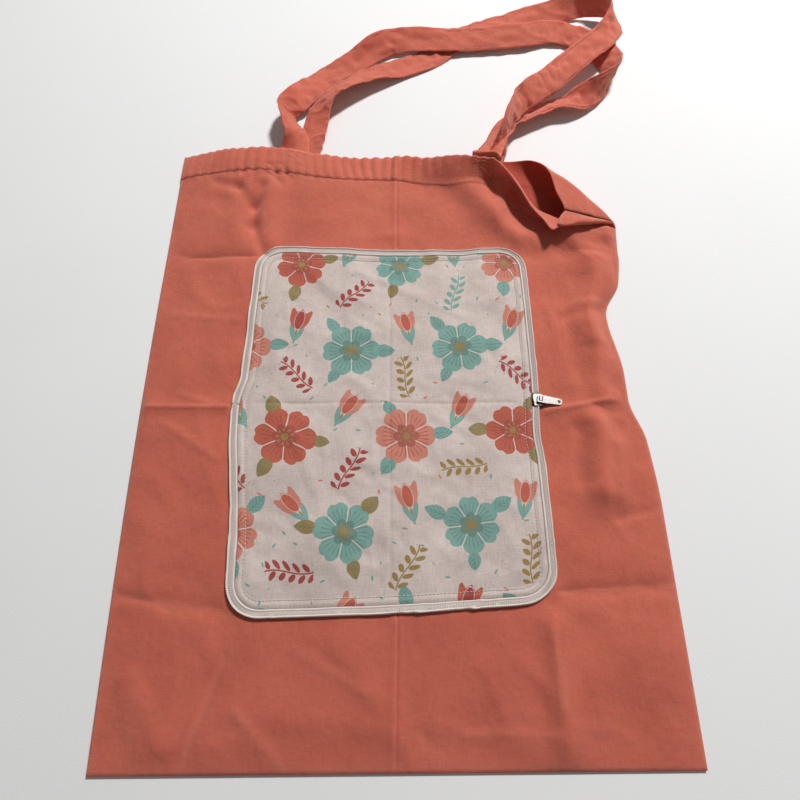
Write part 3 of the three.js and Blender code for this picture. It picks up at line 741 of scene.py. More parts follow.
def rim_faces(rows, columns):
    """The faces that join the edges of an upper and a lower grid."""
    i, j = np.arange(rows), np.arange(columns)
    top, right = j[:-1], i[:-1] * columns + columns - 1
    bottom, left = (rows - 1) * columns + j[:0:-1], i[:0:-1] * columns
    loop = np.concatenate([top, right, bottom, left])
    nearby = np.roll(loop, -1)
    return stacked(nearby, loop, loop + rows * columns, nearby + rows * columns)


def add_sheet(name, upper, lower, x, y, worn=None, inside=(0, 0)):
    """A closed sheet from its upper and lower grids, each of which may be the bag's inside."""
    rows, columns = upper.shape[:2]
    count = rows * columns
    points = np.concatenate([upper.reshape(-1, 3), lower.reshape(-1, 3)])
    under = grid_faces(rows, columns, count)[:, ::-1]
    faces = np.concatenate([grid_faces(rows, columns), under, rim_faces(rows, columns)])
    values = {"flat": np.tile(stacked(x, y, 0).reshape(-1, 3), (2, 1))}
    if worn is not None:
        values |= {"worn": np.tile(worn.ravel(), 2), "inside": np.repeat(inside, count)}
    return add_object(name, points, faces, **values)


def spline(rows, count):
    """Smooth curves through rows of points, at even steps."""
    rows = np.asarray(rows, float)
    last = len(rows) - 1
    points = np.concatenate([[2 * rows[0] - rows[1]], rows, [2 * rows[-1] - rows[-2]]])
    t = np.linspace(0, last, count)
    i = np.minimum(t.astype(int), last - 1)
    p0, p1, p2, p3 = points[i], points[i + 1], points[i + 2], points[i + 3]
    gap0, gap1, gap2 = (np.sqrt(lengths(step)) for step in (p1 - p0, p2 - p1, p3 - p2))
    leave = ((p1 - p0) / gap0 - (p2 - p0) / (gap0 + gap1) + (p2 - p1) / gap1) * gap1
    arrive = ((p2 - p1) / gap1 - (p3 - p1) / (gap1 + gap2) + (p3 - p2) / gap2) * gap1
    return curve_between(p1, p2, leave, arrive, (t - i).reshape(-1, *[1] * (rows.ndim - 1)))


def spaced(start, end, count, places):
    """Grid lines from start to end, closer round some places."""
    fine = np.linspace(start, end, 2000)
    density = np.ones_like(fine)
    for place, reach, more in places:
        density += more * bell((fine - place) ** 2, reach**2)
    total = np.concatenate([[0], np.cumsum((density[1:] + density[:-1]) / 2)])
    return np.interp(np.linspace(0, total[-1], count), total, fine)


def panel_grid(fold, rim, columns, counts, fine_rows):
    """Flat places of a panel's grid, with close rows round its fold and through its hem."""
    line, slant, turn, radius = fold_at(fold, columns)
    place = line - look_up(rim, columns, "dy")
    start = np.minimum(place, HEM_LINE)
    bend_end = place + radius * turn / np.cos(slant)
    end = np.clip(bend_end, start + LEAST_BEND, HALF_HEIGHT - LEAST_FLAP)
    body, bend, flap = counts
    rows = []
    for low, high in zip(start, end):
        parts = [
            spaced(-HALF_HEIGHT, low, body + 1, fine_rows)[:-1],
            np.linspace(low, high, bend, endpoint=False),
            np.linspace(high, HALF_HEIGHT, flap),
        ]
        rows.append(np.concatenate(parts))
    y = np.stack(rows, axis=1)
    return np.broadcast_to(columns, y.shape).copy(), y


def from_edge(x, y):
    """How far places on a flat panel are from its edge."""
    return np.minimum(HALF_WIDTH - np.abs(x), HALF_HEIGHT - np.abs(y))


def worn_places(x, y):
    """How much the cloth is rubbed, from 0 to 1: at its edges, its hem and its pressed creases."""
    hem = np.exp(-np.abs(y - HEM_LINE) / WORN["hem"])
    creases = np.abs(crease_heights(FINE_CREASES, x, y))
    worn = np.exp(-from_edge(x, y) / WORN["edge"]) + WORN["part"] * (hem + creases)
    return np.clip(worn, 0, 1)


def add_panel(name, surface, fold, rim, columns, counts, fine_rows=(), inside=(0, 0)):
    x, y = panel_grid(fold, rim, columns, counts, fine_rows)
    taper = 1 - TAPER["part"] * (1 - ease(from_edge(x, y) / TAPER["reach"]))
    upper, lower = (offset(surface, x, y, side * half_cloth(y) * taper) for side in (1, -1))
    lower[..., 2] = np.maximum(lower[..., 2], FLOOR_GAP)
    return add_sheet(name, upper, lower, x, y, worn_places(x, y), inside)


def add_front_cloth():
    left = spaced(-HALF_WIDTH, 120, 146, FINE_COLUMNS)
    columns = np.concatenate([left[:-1], np.linspace(120, HALF_WIDTH, 44)])
    return add_panel("front_cloth", front_point, LIP_FOLD, RIM, columns, FRONT_ROWS, FINE_ROWS)


def add_back_cloth():
    columns = np.concatenate([np.arange(-HALF_WIDTH, 70, 5), np.linspace(70, HALF_WIDTH, 60)])
    # The back panel's upper face is the bag's inside, which the coral material paints with a deep
    # red painted shade.
    inside_painted_shade = (1, 0)
    return add_panel("back_cloth", back_point, BACK_FOLD, BACK_RIM, columns, BACK_ROWS, (), inside_painted_shade)


def free_rows(path):
    """Rows of points across a strap's free length, from its table."""
    middle = stacked(path["x"], path["y"], path["z"])
    run = unit(run_of(middle))
    left = unit(stacked(-run[:, 1], run[:, 0], 0))
    over = np.cross(run, left)
    roll = np.radians(path["roll"])[:, None]
    width = left * np.cos(roll) + over * np.sin(roll)
    half = STRAP["width"] / 2
    lowest = half * np.abs(np.sin(roll[:, 0])) + STRAP["cloth"] / 2 + STRAP["over_floor"]
    middle[:, 2] = np.maximum(middle[:, 2], lowest)
    return [[m + w * t * half for t in THREADS] for m, w in zip(middle, width)]


def sewn_rows(surface, inward, middle, parts=SEWN_PARTS):
    """Rows of points across the end of a strap that is sewn inside the hem."""
    depth = inward * ((HEM_CLOTH + STRAP["cloth"]) / 2 + STRAP["backing"])
    x = middle - THREADS * STRAP["width"] / 2
    heights = (np.full_like(x, HALF_HEIGHT - part * STRAP["sewn"]) for part in parts)
    return [offset(surface, x, y, depth) for y in heights]


def strap_rows(surface, inward, ends, path, last_parts):
    start = sewn_rows(surface, inward, ends[0])
    end = sewn_rows(surface, inward, ends[1], last_parts)[::-1]
    return np.array(start + free_rows(path) + end)


def add_strap(name, rows, steps=430, count=17):
    """A strap of folded cloth through its rows, with rounded edges and a stitched groove by each."""
    grid = np.stack([spline(row, count) for row in spline(rows, steps)])
    t = np.linspace(-1, 1, count)
    out = unit(np.cross(run_of(grid), np.gradient(grid, axis=1)))
    length = run_along(grid[:, count // 2])
    along, across = np.meshgrid(length, t * STRAP["width"] / 2, indexing="ij")
    edge = STRAP["width"] / 2 - np.abs(across)
    rounded = 1 - STRAP_EDGE["thinner"] * np.abs(t) ** STRAP_EDGE["power"]
    half = STRAP["cloth"] / 2 * rounded + bump(edge, *STRAP_GROOVE)
    wrinkle = unevenness(STRAP_LAYERS, across, along)
    wrinkle += unevenness(STRAP_SEAM_LAYERS, across, along) * bump(edge, *STRAP_PUCKER)
    free = ease(along / STRAP_PRESSED) * ease((length[-1] - along) / STRAP_PRESSED)
    grid = grid + out * (wrinkle * free)[..., None]
    upper, lower = (grid - side * out * half[..., None] for side in (1, -1))
    lift = np.minimum(0, np.minimum(upper[..., 2], lower[..., 2]))
    upper[..., 2] -= lift
    lower[..., 2] -= lift
    return add_sheet(name, upper, lower, across, along)


def pocket_place(x, y):
    """A place on the flat front panel, from a place on the pocket's straight outline."""
    a = np.clip(x / POCKET_HALF_WIDTH, -1, 1)
    b = np.clip(y / POCKET_HALF_HEIGHT, -1, 1)
    left, right = look_up_all(POCKET_SIDES, y)
    top, bottom = look_up_all(POCKET_ENDS, x)
    side, end = np.where(a < 0, left, right), np.where(b < 0, bottom, top)
    return POCKET["x"] + x + side * np.abs(a), POCKET["y"] + y + end * np.abs(b)


def pocket_half_width(y):
    into = np.maximum(0, np.abs(y) - CORNER_Y)
    return CORNER_X + np.sqrt(np.maximum(0, CORNER**2 - into**2))


def pocket_edge_distance(x, y):
    """How far a place on the pocket's flat cloth is from its edge."""
    out_x = np.maximum(0, np.abs(x) - CORNER_X)
    out_y = np.maximum(0, np.abs(y) - CORNER_Y)
    straight = np.minimum(POCKET_HALF_WIDTH - np.abs(x), POCKET_HALF_HEIGHT - np.abs(y))
    return np.where((out_x > 0) & (out_y > 0), CORNER - np.hypot(out_x, out_y), straight)


def add_pocket():
    arc = CORNER_Y + CORNER * np.sin(np.linspace(0, np.pi / 2, 14)[1:])
    straight = spaced(-CORNER_Y, CORNER_Y, 190, POCKET_FINE_ROWS)
    rows = np.concatenate([-arc[::-1], straight, arc])
    a, y = np.meshgrid(spaced(-1, 1, 190, POCKET_FINE_COLUMNS), rows)
    x = a * pocket_half_width(y)
    edge = pocket_edge_distance(x, y)
    fill = POCKET["fill"] + unevenness(POCKET_LAYERS, x, y)
    fill += bump(x, *POCKET_CREASES["x"]) + bump(y, *POCKET_CREASES["y"])
    height = POCKET_BASE + POCKET["cloth"] + fill * ramp(edge, *POCKET_INNER)
    height += bump(edge, *POCKET_ROLL) + bump(edge, *POCKET_GROOVE)
    height -= POCKET["edge_drop"] * (1 - ease(edge / POCKET["edge"]))
    places = pocket_place(x, y)
    upper, lower = (offset(front_point, *places, level) for level in (height, POCKET_BASE))
    return add_sheet("pocket_cloth", upper, lower, x, y)


def outline_places(sign, step):
    """Places and outward directions along half of the pocket's outline, at even steps."""
    start = sign * (SLIDER["y"] - POCKET["y"]) + SLIDER["length"] / 2 + GAP
    finish = sign * (ZIP_MEETS - POCKET["y"]) + GAP
    quarter = CORNER * np.pi / 2
    stops = np.cumsum([0, CORNER_Y - start, quarter, 2 * CORNER_X, quarter, CORNER_Y - finish])
    s = np.linspace(0, stops[-1], int(stops[-1] / step))
    angle = np.interp(s, stops, np.array([0, 0, 1, 1, 2, 2]) * np.pi / 2)
    centre_x = np.interp(s, stops, [CORNER_X] * 3 + [-CORNER_X] * 3)
    centre_y = np.interp(s, stops, [start] + [CORNER_Y] * 4 + [finish])
    x, y = centre_x + CORNER * np.cos(angle), centre_y + CORNER * np.sin(angle)
    return x, sign * y, np.cos(angle), sign * np.sin(angle)


def zip_surface(places, out, height):
    """Points beside the pocket's outline, by their distance out from it and over the panel."""
    x, y, out_x, out_y = places
    flat_x, flat_y = pocket_place(x, y)
    return offset(front_point, flat_x + out_x * out, flat_y + out_y * out, POCKET_BASE + height)


def add_tape(name, sign):
    """The zip's tape: a low rib by the pocket, the bed of the coil and a high outer rib."""
    places = outline_places(sign, TAPE_STEP)
    outs, heights = TAPE_SECTION["out"], TAPE_SECTION["height"]
    upper = np.stack([zip_surface(places, out, high) for out, high in zip(outs, heights)], axis=1)
    lower = np.stack([zip_surface(places, out, 0) for out in outs], axis=1)
    s, t = np.meshgrid(np.arange(len(places[0])) * TAPE_STEP, outs, indexing="ij")
    if sign > 0:
        upper, lower = lower, upper
    return add_sheet(name, upper, lower, t, s)


def bar_faces():
    """The triangles of one bar: a fan at each tip and a band between each two rings."""
    last = 1 + (len(RINGS) - 1) * RING_SIDES
    faces = []
    for i in range(RING_SIDES):
        j = (i + 1) % RING_SIDES
        faces.append((0, 1 + j, 1 + i))
        for low in range(1, last, RING_SIDES):
            high = low + RING_SIDES
            faces.append((low + i, low + j, high + j))
            faces.append((low + i, high + j, high + i))
        faces.append((last + i, last + j, last + RING_SIDES))
    return np.array(faces)


def add_bars(name, starts, ends, outs, radius):
    """Many small round-ended bars in one piece, each from its start to its end."""
    along = unit(ends - starts)
    side = unit(np.cross(along, outs))
    over = np.cross(side, along)
    points = [starts - along * radius / 2]
    for part, wide in RINGS:
        middle = lerp(starts, ends, part)
        for angle in np.arange(RING_SIDES) * 2 * np.pi / RING_SIDES:
            points.append(middle + (side * np.cos(angle) + over * np.sin(angle)) * radius * wide)
    points = np.stack([*points, ends + along * radius / 2], axis=1)
    count, size = points.shape[:2]
    faces = bar_faces() + (np.arange(count) * size)[:, None, None]
    along_bar, bar = np.tile(np.linspace(0, 2, size), count), np.repeat(np.arange(count), size)
    flat = stacked(along_bar, bar * 3.1, 0)
    return add_object(name, points.reshape(-1, 3), faces.reshape(-1, 3), flat=flat)


def add_teeth(name, sign):
    """The zip's coil, as slanted bars in its bed."""
    x, y, out_x, out_y = outline_places(sign, COIL["pitch"])
    inner, outer = (
        (x - lean * out_y, y + lean * out_x, out_x, out_y) for lean in (COIL["lean"], -COIL["lean"])
    )
    starts = zip_surface(inner, COIL["from"], COIL["height"])
    ends = zip_surface(outer, COIL["to"], COIL["height"])
    over = zip_surface(inner, COIL["from"], COIL["height"] + 1)
    return add_bars(name, starts, ends, over - starts, COIL["radius"])


def add_stitches(name, surface, x, y, height, stitch=STITCH):
    """Stitches that lie on a surface along a line of flat places."""
    run = run_along(offset(surface, x, y, height))
    begin = np.arange(stitch["pitch"] / 2, run[-1] - stitch["pitch"], stitch["pitch"])
    wobble = RANDOM.uniform(-WOBBLE, WOBBLE, len(begin))
    first, last = (points_at(stacked(x, y), run, at).T for at in (begin, begin + stitch["length"]))
    starts = offset(surface, *first, height) + wobble[:, None]
    ends = offset(surface, *last, height)
    return add_bars(name, starts, ends, sheet_normal(surface, *first), stitch["radius"])


def pocket_surface(x, y):
    """The middle of the pocket's cloth, from its own flat cloth."""
    return offset(front_point, *pocket_place(x, y), POCKET_BASE + POCKET["cloth"] / 2)


def add_pocket_stitches():
    """A row of stitches round the pocket, a little way in from its edge."""
    angles = np.linspace(0, 2 * np.pi, 900)
    quarter = (angles // (np.pi / 2)).astype(int) % 4
    side_x, side_y = np.array([(1, 1), (-1, 1), (-1, -1), (1, -1)])[quarter].T
    x = side_x * CORNER_X + (CORNER - POCKET_SEAM) * np.cos(angles)
    y = side_y * CORNER_Y + (CORNER - POCKET_SEAM) * np.sin(angles)
    return add_stitches("pocket_stitches", pocket_surface, x, y, ON_POCKET, POCKET_STITCH)


def add_hem_stitches():
    x = np.linspace(1 - HALF_WIDTH, HALF_WIDTH - 4, 700)
    y = np.full_like(x, HEM_LINE + HEM_SEAM)
    return add_stitches("hem_stitches", front_point, x, y, ON_HEM)


def add_box_stitches(name, middle):
    """The stitched box with a diagonal that holds an end of the front strap in its hem."""
    left, right = middle - BOX_STITCH["half_width"], middle + BOX_STITCH["half_width"]
    low, high = HEM_LINE + BOX_STITCH["bottom"], HALF_HEIGHT - BOX_STITCH["top"]
    corners = [(left, high), (left, low), (right, low), (right, high), (left, high), (right, low)]
    share = np.linspace(0, len(corners) - 1, 400)
    places = points_at(np.array(corners), np.arange(len(corners)), share)
    return add_stitches(name, front_point, *places.T, ON_HEM)


def add_strap_stitches(name, rows):
    """Stitches along both edges of a strap, on both of its faces."""
    lines = spline(rows, 900)[40:-40]
    middle = lines[:, 2]
    out = unit(np.cross(np.gradient(middle, axis=0), lines[:, 4] - lines[:, 0]))
    run = run_along(middle)
    begin = np.arange(0, run[-1] - STITCH["pitch"], STITCH["pitch"])
    share = STRAP["seam"] / (STRAP["width"] / 4)
    starts, ends, outs = [], [], []
    for edge, inner in ((0, 1), (4, 3)):
        for face in (-1, 1):
            line = lerp(lines[:, edge], lines[:, inner], share) + out * face * ON_STRAP
            starts.append(points_at(line, run, begin))
            ends.append(points_at(line, run, begin + STITCH["length"]))
            outs.append(points_at(out * face, run, begin))
    return add_bars(name, *(np.concatenate(part) for part in (starts, ends, outs)), STITCH["radius"])


# Materials


class Graph:
    """The shader nodes of one material."""

    def __init__(self, name):
        self.material = bpy.data.materials.new(name)
        self.material.use_nodes = True
        self.tree = self.material.node_tree
        self.shader = self.tree.nodes["Principled BSDF"]

    def node(self, kind, inputs=None, **settings):
        node = self.tree.nodes.new("ShaderNode" + kind)
        for key, value in settings.items():
            setattr(node, key, value)
        for key, value in (inputs or {}).items():
            self.feed(node.inputs[key], value)
        return node

    def feed(self, socket, value):
        value = getattr(value, "socket", value)
        if isinstance(value, bpy.types.NodeSocket):
            self.tree.links.new(value, socket)
        else:
            socket.default_value = value

    def field(self, kind, inputs, **settings):
        return Field(self, self.node(kind, inputs, **settings).outputs[0])

    def attribute(self, name):
        """The value of a point attribute."""
        return Field(self, self.node("Attribute", attribute_name=name).outputs["Fac"])

    def parts(self, vector):
        """The three numbers of a vector or colour."""
        outputs = self.node("SeparateXYZ", {0: vector}).outputs
        return [Field(self, outputs[i]) for i in range(3)]

    def flat_place(self):
        """The place on the flat cloth in millimetres, as two fields and a vector."""
        vector = self.node("Attribute", attribute_name="flat").outputs["Vector"]
        x, y, _ = self.parts(vector)
        return x, y, vector

    def vector(self, x, y, z=0.0):
        return self.node("CombineXYZ", {0: x, 1: y, 2: z}).outputs[0]

    def noise(self, vector, size, detail=2.0, roughness=0.5, dimensions="2D"):
        """Unevenness from 0 to 1 with bumps of a given size in the vector's unit."""
        inputs = {"Vector": vector, "Scale": 1 / size, "Detail": detail, "Roughness": roughness}
        return self.field("TexNoise", inputs, noise_dimensions=dimensions)

    def blend(self, factor, a, b):
        """A colour between two colours."""
        return self.node("Mix", {0: factor, 6: a, 7: b}, data_type="RGBA").outputs[2]

    def paint(self, colour, *layers):
        """A colour with others over it in turn, each where its mask is 1."""
        for mask, ink in layers:
            colour = self.blend(mask, colour, ink)
        return colour

    def finish(self, colour, height, distance=0.001, **values):
        """Feeds the shader: a colour, a height for its bump, and values by socket name."""
        self.feed(self.shader.inputs["Base Color"], colour)
        for key, value in values.items():
            self.feed(self.shader.inputs[key.replace("_", " ").title()], value)
        bump_node = self.node("Bump", {"Height": height, "Distance": distance, "Strength": 1.0})
        self.feed(self.shader.inputs["Normal"], bump_node.outputs[0])
        return self.material


class Field:
    """A number that varies over a surface, with the sums that shader nodes can do on it."""

    def __init__(self, graph, socket):
        self.graph = graph
        self.socket = socket

    def math(self, operation, *others):
        inputs = dict(enumerate([self, *others]))
        return self.graph.field("Math", inputs, operation=operation)

    __add__ = partialmethod(math, "ADD")
    __sub__ = partialmethod(math, "SUBTRACT")
    __mul__ = partialmethod(math, "MULTIPLY")
    __truediv__ = partialmethod(math, "DIVIDE")
    sin = partialmethod(math, "SINE")
    cos = partialmethod(math, "COSINE")
    abs = partialmethod(math, "ABSOLUTE")
    floor = partialmethod(math, "FLOOR")
    fraction = partialmethod(math, "FRACT")
    power = partialmethod(math, "POWER")
    least = partialmethod(math, "MINIMUM")
    most = partialmethod(math, "MAXIMUM")

    def flip(self):
        """One less the field."""
        return self * -1.0 + 1.0

    def clamped(self):
        return self.least(1.0).most(0.0)

    def wave(self):
        """A wave from 0 to 1 over an angle."""
        return self.sin() * 0.5 + 0.5

    def inside(self, softness=0.25):
        """1 where the field is over zero and 0 where it is under, with a narrow soft edge."""
        return (self / softness + 0.5).clamped()


THREAD_PER_MM = np.pi / 0.55
SLUB_SIZE, SLUB_STRETCH = 0.9, 0.12
TWIST, TAPE_RIBS, TAPE_BARS = 9.0, 9.0, 8.0
FINE_BUMP, SCRATCH_BUMP = 0.0001, 0.00006
CORAL_DARK, CORAL_LIGHT = (0.50, 0.108, 0.064, 1), (0.67, 0.165, 0.104, 1)
# The worn colour is paler rubbed cloth; the inside colour is painted shade, a deep red laid on the
# bag's inside faces.
CORAL_WORN, CORAL_PAINTED_SHADE = (0.76, 0.27, 0.19, 1), (0.42, 0.052, 0.026, 1)
CORAL_DEPTH = {
    "subsurface_weight": 0.6,
    "subsurface_radius": (0.0026, 0.0005, 0.0003),
    "subsurface_scale": 1.0,
}
TAPE_DARK, TAPE_LIGHT = (0.70, 0.60, 0.55, 1), (0.88, 0.79, 0.73, 1)
NICKEL_DARK, NICKEL_LIGHT = (0.10, 0.095, 0.09, 1), (0.36, 0.35, 0.33, 1)
FLOOR_DARK, FLOOR_LIGHT = (0.87, 0.865, 0.86, 1), (0.91, 0.905, 0.90, 1)
COIL_TONES = (0.66, 0.58, 0.53, 1), (0.84, 0.75, 0.69, 1)
WHITE_THREAD_TONES = (0.52, 0.47, 0.44, 1), (0.76, 0.71, 0.67, 1)
CORAL_THREAD_TONES = (0.56, 0.15, 0.09, 1), (0.80, 0.33, 0.24, 1)


def weave(graph, x, y):
    """The height of a plain weave, from 0 to 1, and its unevenness from 0 to 1."""
    over = (x * THREAD_PER_MM).sin() * (y * THREAD_PER_MM).sin()
    across = graph.noise(graph.vector(x * SLUB_STRETCH, y), SLUB_SIZE)
    down = graph.noise(graph.vector(x, y * SLUB_STRETCH), SLUB_SIZE)
    return over * 0.5 + 0.5, (across + down) * 0.5


def coral_material(name):
    """Coral cotton: a weave with slubs, paler where it is worn, and with painted shade in deep red
    on the bag's inside faces.
    """
    graph = Graph(name)
    x, y, vector = graph.flat_place()
    height, slubs = weave(graph, x, y)
    clouds = graph.noise(vector, 45.0, 4.0, 0.6)
    shade = ((clouds * 0.5 + slubs * 0.5 + height * 0.12 - 0.31) * 2.1).clamped()
    rubbed = (graph.attribute("worn") * graph.noise(vector, 4.0, 3.0) * 0.9).least(1.0)
    # Painted shade: the bag's inside faces are painted a deep red, as if in shadow.
    inside_painted_shade = graph.attribute("inside") * (slubs * 0.3 + 0.7)
    colour = graph.blend(shade, CORAL_DARK, CORAL_LIGHT)
    colour = graph.paint(colour, (rubbed, CORAL_WORN), (inside_painted_shade, CORAL_PAINTED_SHADE))
    relief = graph.noise(vector, 7.0, 3.0, 0.6) * 0.5 + slubs * 0.14 + height * 0.08
    sheen = {"sheen_weight": 0.15, "sheen_roughness": 0.5}
    return graph.finish(colour, relief, roughness=slubs * 0.15 + 0.8, **sheen, **CORAL_DEPTH)


def thread_material(name, dark, light):
    """Sewing thread: two twisted strands."""
    graph = Graph(name)
    x, y, vector = graph.flat_place()
    twist = ((x + y) * TWIST).wave()
    tone = twist * 0.6 + graph.noise(vector, 3.0) * 0.4
    return graph.finish(graph.blend(tone, dark, light), twist, FINE_BUMP, roughness=0.6)


def tape_material(name):
    """White zip tape: fine ribs along it, greyer in places."""
    graph = Graph(name)
    x, y, vector = graph.flat_place()
    ribs = (x * TAPE_RIBS).wave() * (y * TAPE_BARS).wave()
    grime = graph.noise(vector, 9.0, 4.0, 0.6)
    colour = graph.blend(grime * 0.8 + ribs * 0.2, TAPE_DARK, TAPE_LIGHT)
    return graph.finish(colour, ribs, FINE_BUMP, roughness=grime * 0.2 + 0.55)


def metal_material(name):
    """Nickel-plated zinc: scratches and dull spots, darker and lighter at random."""
    graph = Graph(name)
    place = graph.node("TexCoord").outputs["Object"]
    scaled = graph.node("VectorMath", {0: place, 3: 1 / MM}, operation="SCALE").outputs[0]
    stretch = {0: scaled, 1: (0.5, 6.0, 1.0)}
    stretched = graph.node("VectorMath", stretch, operation="MULTIPLY").outputs[0]
    scratches = graph.noise(stretched, 1 / 1.4, 4.0, dimensions="3D")
    spots = graph.noise(scaled, 1 / 0.6, 5.0, dimensions="3D")
    colour = graph.blend(spots * 0.7 + scratches * 0.3, NICKEL_DARK, NICKEL_LIGHT)
    roughness = scratches * 0.3 + spots * 0.25 + 0.10
    return graph.finish(colour, scratches, SCRATCH_BUMP, metallic=1.0, roughness=roughness)


def floor_material(name):
    graph = Graph(name)
    place = graph.node("TexCoord").outputs["Object"]
    clouds = graph.noise(place, 1 / 9, 4.0, dimensions="3D")
    grain = graph.noise(place, 1 / 900, dimensions="3D")
    colour = graph.blend(clouds, FLOOR_DARK, FLOOR_LIGHT)
    return graph.finish(colour, grain, FINE_BUMP, roughness=clouds * 0.1 + 0.8)


# The print


GROUND_DARK, GROUND_LIGHT = (0.50, 0.40, 0.355, 1), (0.70, 0.59, 0.54, 1)
CORAL_INK, RED_INK = (0.47, 0.066, 0.022, 1), (0.34, 0.012, 0.008, 1)
SALMON_INK, GOLD_INK = (0.58, 0.185, 0.12, 1), (0.30, 0.18, 0.025, 1)
MINT_INK, DEEP_MINT_INK = (0.16, 0.35, 0.30, 1), (0.05, 0.17, 0.15, 1)
# Staggered lattices of motifs: the cell's size, its shift, how far its motif wanders off its
# middle and how far round it the ground is kept clear.
BLOSSOMS = {"cell": (84.0, 72.0), "shift": (12.0, 16.0), "wander": 9.0, "reach": 33.0}
TULIPS = {"cell": (84.0, 72.0), "shift": (54.0, 40.0), "wander": 4.0, "reach": 19.0}
SPRIGS = {"cell": (84.0, 72.0), "shift": (12.0, 64.0), "wander": 4.0, "reach": 17.0}
DASHES = {"cell": (17.0, 12.0), "shift": (3.0, 2.0), "wander": 5.0, "reach": 3.0}
FULL_TURN = 6.28
# The leaves of a blossom: angle, length and width.
LEAVES = ((0.5, 17.0, 11.0), (2.7, 18.5, 10.0), (4.7, 15.0, 9.0))
LEAF_START = 17.0
TULIP_SCALE, SPRIG_SCALE = 1.22, 1.25
BUD_SPACING = 5.4
SHARP_EDGE, SOFT_EDGE, SOFTER_EDGE = 0.01, 0.3, 0.4


class Cell:
    """The nearest motif of a staggered lattice: the place round it, and its own chances."""

    def __init__(self, graph, x, y, lattice):
        self.graph, self.reach = graph, lattice["reach"]
        (wide, high), shift, wander = lattice["cell"], lattice["shift"], lattice["wander"]
        rows = (y - shift[1]) / high
        row = rows.floor()
        columns = (x - shift[0]) / wide + (row * 0.5).fraction()
        column = columns.floor()
        seed = graph.vector(row, column, wide + shift[1])
        chances = graph.node("TexWhiteNoise", {"Vector": seed}, noise_dimensions="3D")
        self.chances = graph.parts(chances.outputs["Color"])
        self.x = (columns - column - 0.5) * wide + (self.chances[0] - 0.5) * wander
        self.y = (rows - row - 0.5) * high + (self.chances[1] - 0.5) * wander

    def turned(self, angle):
        """The place round the motif, turned by an angle."""
        sine, cosine = angle.sin(), angle.cos()
        return self.x * cosine + self.y * sine, self.y * cosine - self.x * sine

    def clear(self):
        """1 where the ground is clear of this motif."""
        return (radius_of(self.x, self.y) - self.reach).inside()

    def pick(self, chance, limit, usual, other):
        """One colour, or another where one of the motif's chances is over a limit."""
        return self.graph.blend((self.chances[chance] - limit).inside(SHARP_EDGE), usual, other)


def radius_of(x, y):
    return (x * x + y * y).power(0.5)


def leaf(x, y, length, width):
    """A pointed leaf from the origin along x: over zero inside it."""
    part = (x / length).clamped()
    return (part * np.pi).sin().power(0.8) * (width / 2) - y.abs() - 0.02


def oval(x, y, half_length, half_width):
    a, b = x / half_length, y / half_width
    return (a * a + b * b).flip() * half_width


def band(x, half_width):
    """A straight band round x = 0, or a ring where x is a distance from it."""
    return x.abs() * -1.0 + half_width


def span(x, half_length):
    """The middle part of a line: over zero inside it."""
    part = x / half_length
    return (part * part).flip() * half_length


def leaf_layers(cell, turn):
    """Three veined leaves that reach out from a motif."""
    tone = cell.pick(0, 0.6, MINT_INK, GOLD_INK)
    layers = []
    for side, length, width in LEAVES:
        x, y = cell.turned(turn + side)
        shape = leaf(x - LEAF_START, y, length, width).inside()
        ribs = ((x - y.abs() * 1.2) * 1.9).cos() * 0.45 - 0.28
        veins = ribs.most(band(y, 0.35)).inside()
        layers += [(shape, tone), (shape * veins * 0.55, DEEP_MINT_INK)]
    return layers


def blossom_layers(cell):
    """A big open blossom of six notched petals, with leaves behind it."""
    turn = cell.chances[2] * FULL_TURN
    x, y = cell.turned(turn)
    radius, angle = radius_of(x, y), y.math("ARCTAN2", x)
    petals = (angle * 3.0).cos().abs()
    notches = ((angle * 6.0).cos() * 0.5 + 0.5).power(10.0)
    size = cell.chances[1] * 3.5 + 20.5
    edge = size * (petals.power(0.5) * 0.34 + 0.66) - notches * 1.8
    shape = (edge - radius).inside()
    petal = cell.pick(2, 0.7, cell.pick(2, 0.36, CORAL_INK, SALMON_INK), MINT_INK)
    deep = cell.pick(2, 0.7, RED_INK, DEEP_MINT_INK)
    between = (radius - size * 0.42).inside() * (size * 0.76 - radius).inside()
    lines = ((angle * 30.0).cos() - 0.6).inside(SOFT_EDGE) * between
    gaps = (petals * radius * -1.0 + 1.1).inside(SOFTER_EDGE) * (radius - size * 0.3).inside()
    heart = (size * (petals * 0.1 + 0.33) - radius).inside()
    middle = (size * 0.13 - radius).inside()
    ring = (span(radius - size * 0.235, 1.1) / 1.1).inside()
    stamens = ((angle * 9.0).cos() - 0.2).inside(SOFTER_EDGE) * ring
    return leaf_layers(cell, turn + 0.5) + [
        (shape, petal),
        (lines * shape * 0.6, deep),
        (gaps * shape, GROUND_LIGHT),
        (heart * 0.7, deep),
        (middle.most(stamens), GOLD_INK),
    ]


def tulip_layers(cell):
    """A tulip seen from its side, with a stem and two slim leaves."""
    x, y = (part / TULIP_SCALE for part in cell.turned(cell.chances[2] * 1.6 - 0.8))
    stem = band(x, 0.55).inside() * span(y + 11.0, 6.0).inside()
    up = y + 16.5
    blades = [leaf(up, x * side - up * 0.34, 13.0, 3.4).inside() for side in (-1.0, 1.0)]
    teeth = ((x / 5.6 + 0.5).fraction() - 0.5).abs() * 6.0
    base = y.least(0.0) / 7.6
    side_edge = (base * base).flip().most(0.0).power(0.5) * 6.2 + y * 0.1 - x.abs()
    cup = side_edge.least(teeth * -1.0 + 8.0 - y).inside()
    front = oval(y + 0.4, x, 7.0, 3.0)
    return [
        (stem, GOLD_INK),
        *((blade, MINT_INK) for blade in blades),
        (cup, cell.pick(0, 0.5, SALMON_INK, CORAL_INK)),
        (front.inside(), cell.pick(0, 0.5, CORAL_INK, RED_INK)),
        (band(front, 0.28).inside(SOFT_EDGE) * 0.8, GROUND_LIGHT),
    ]


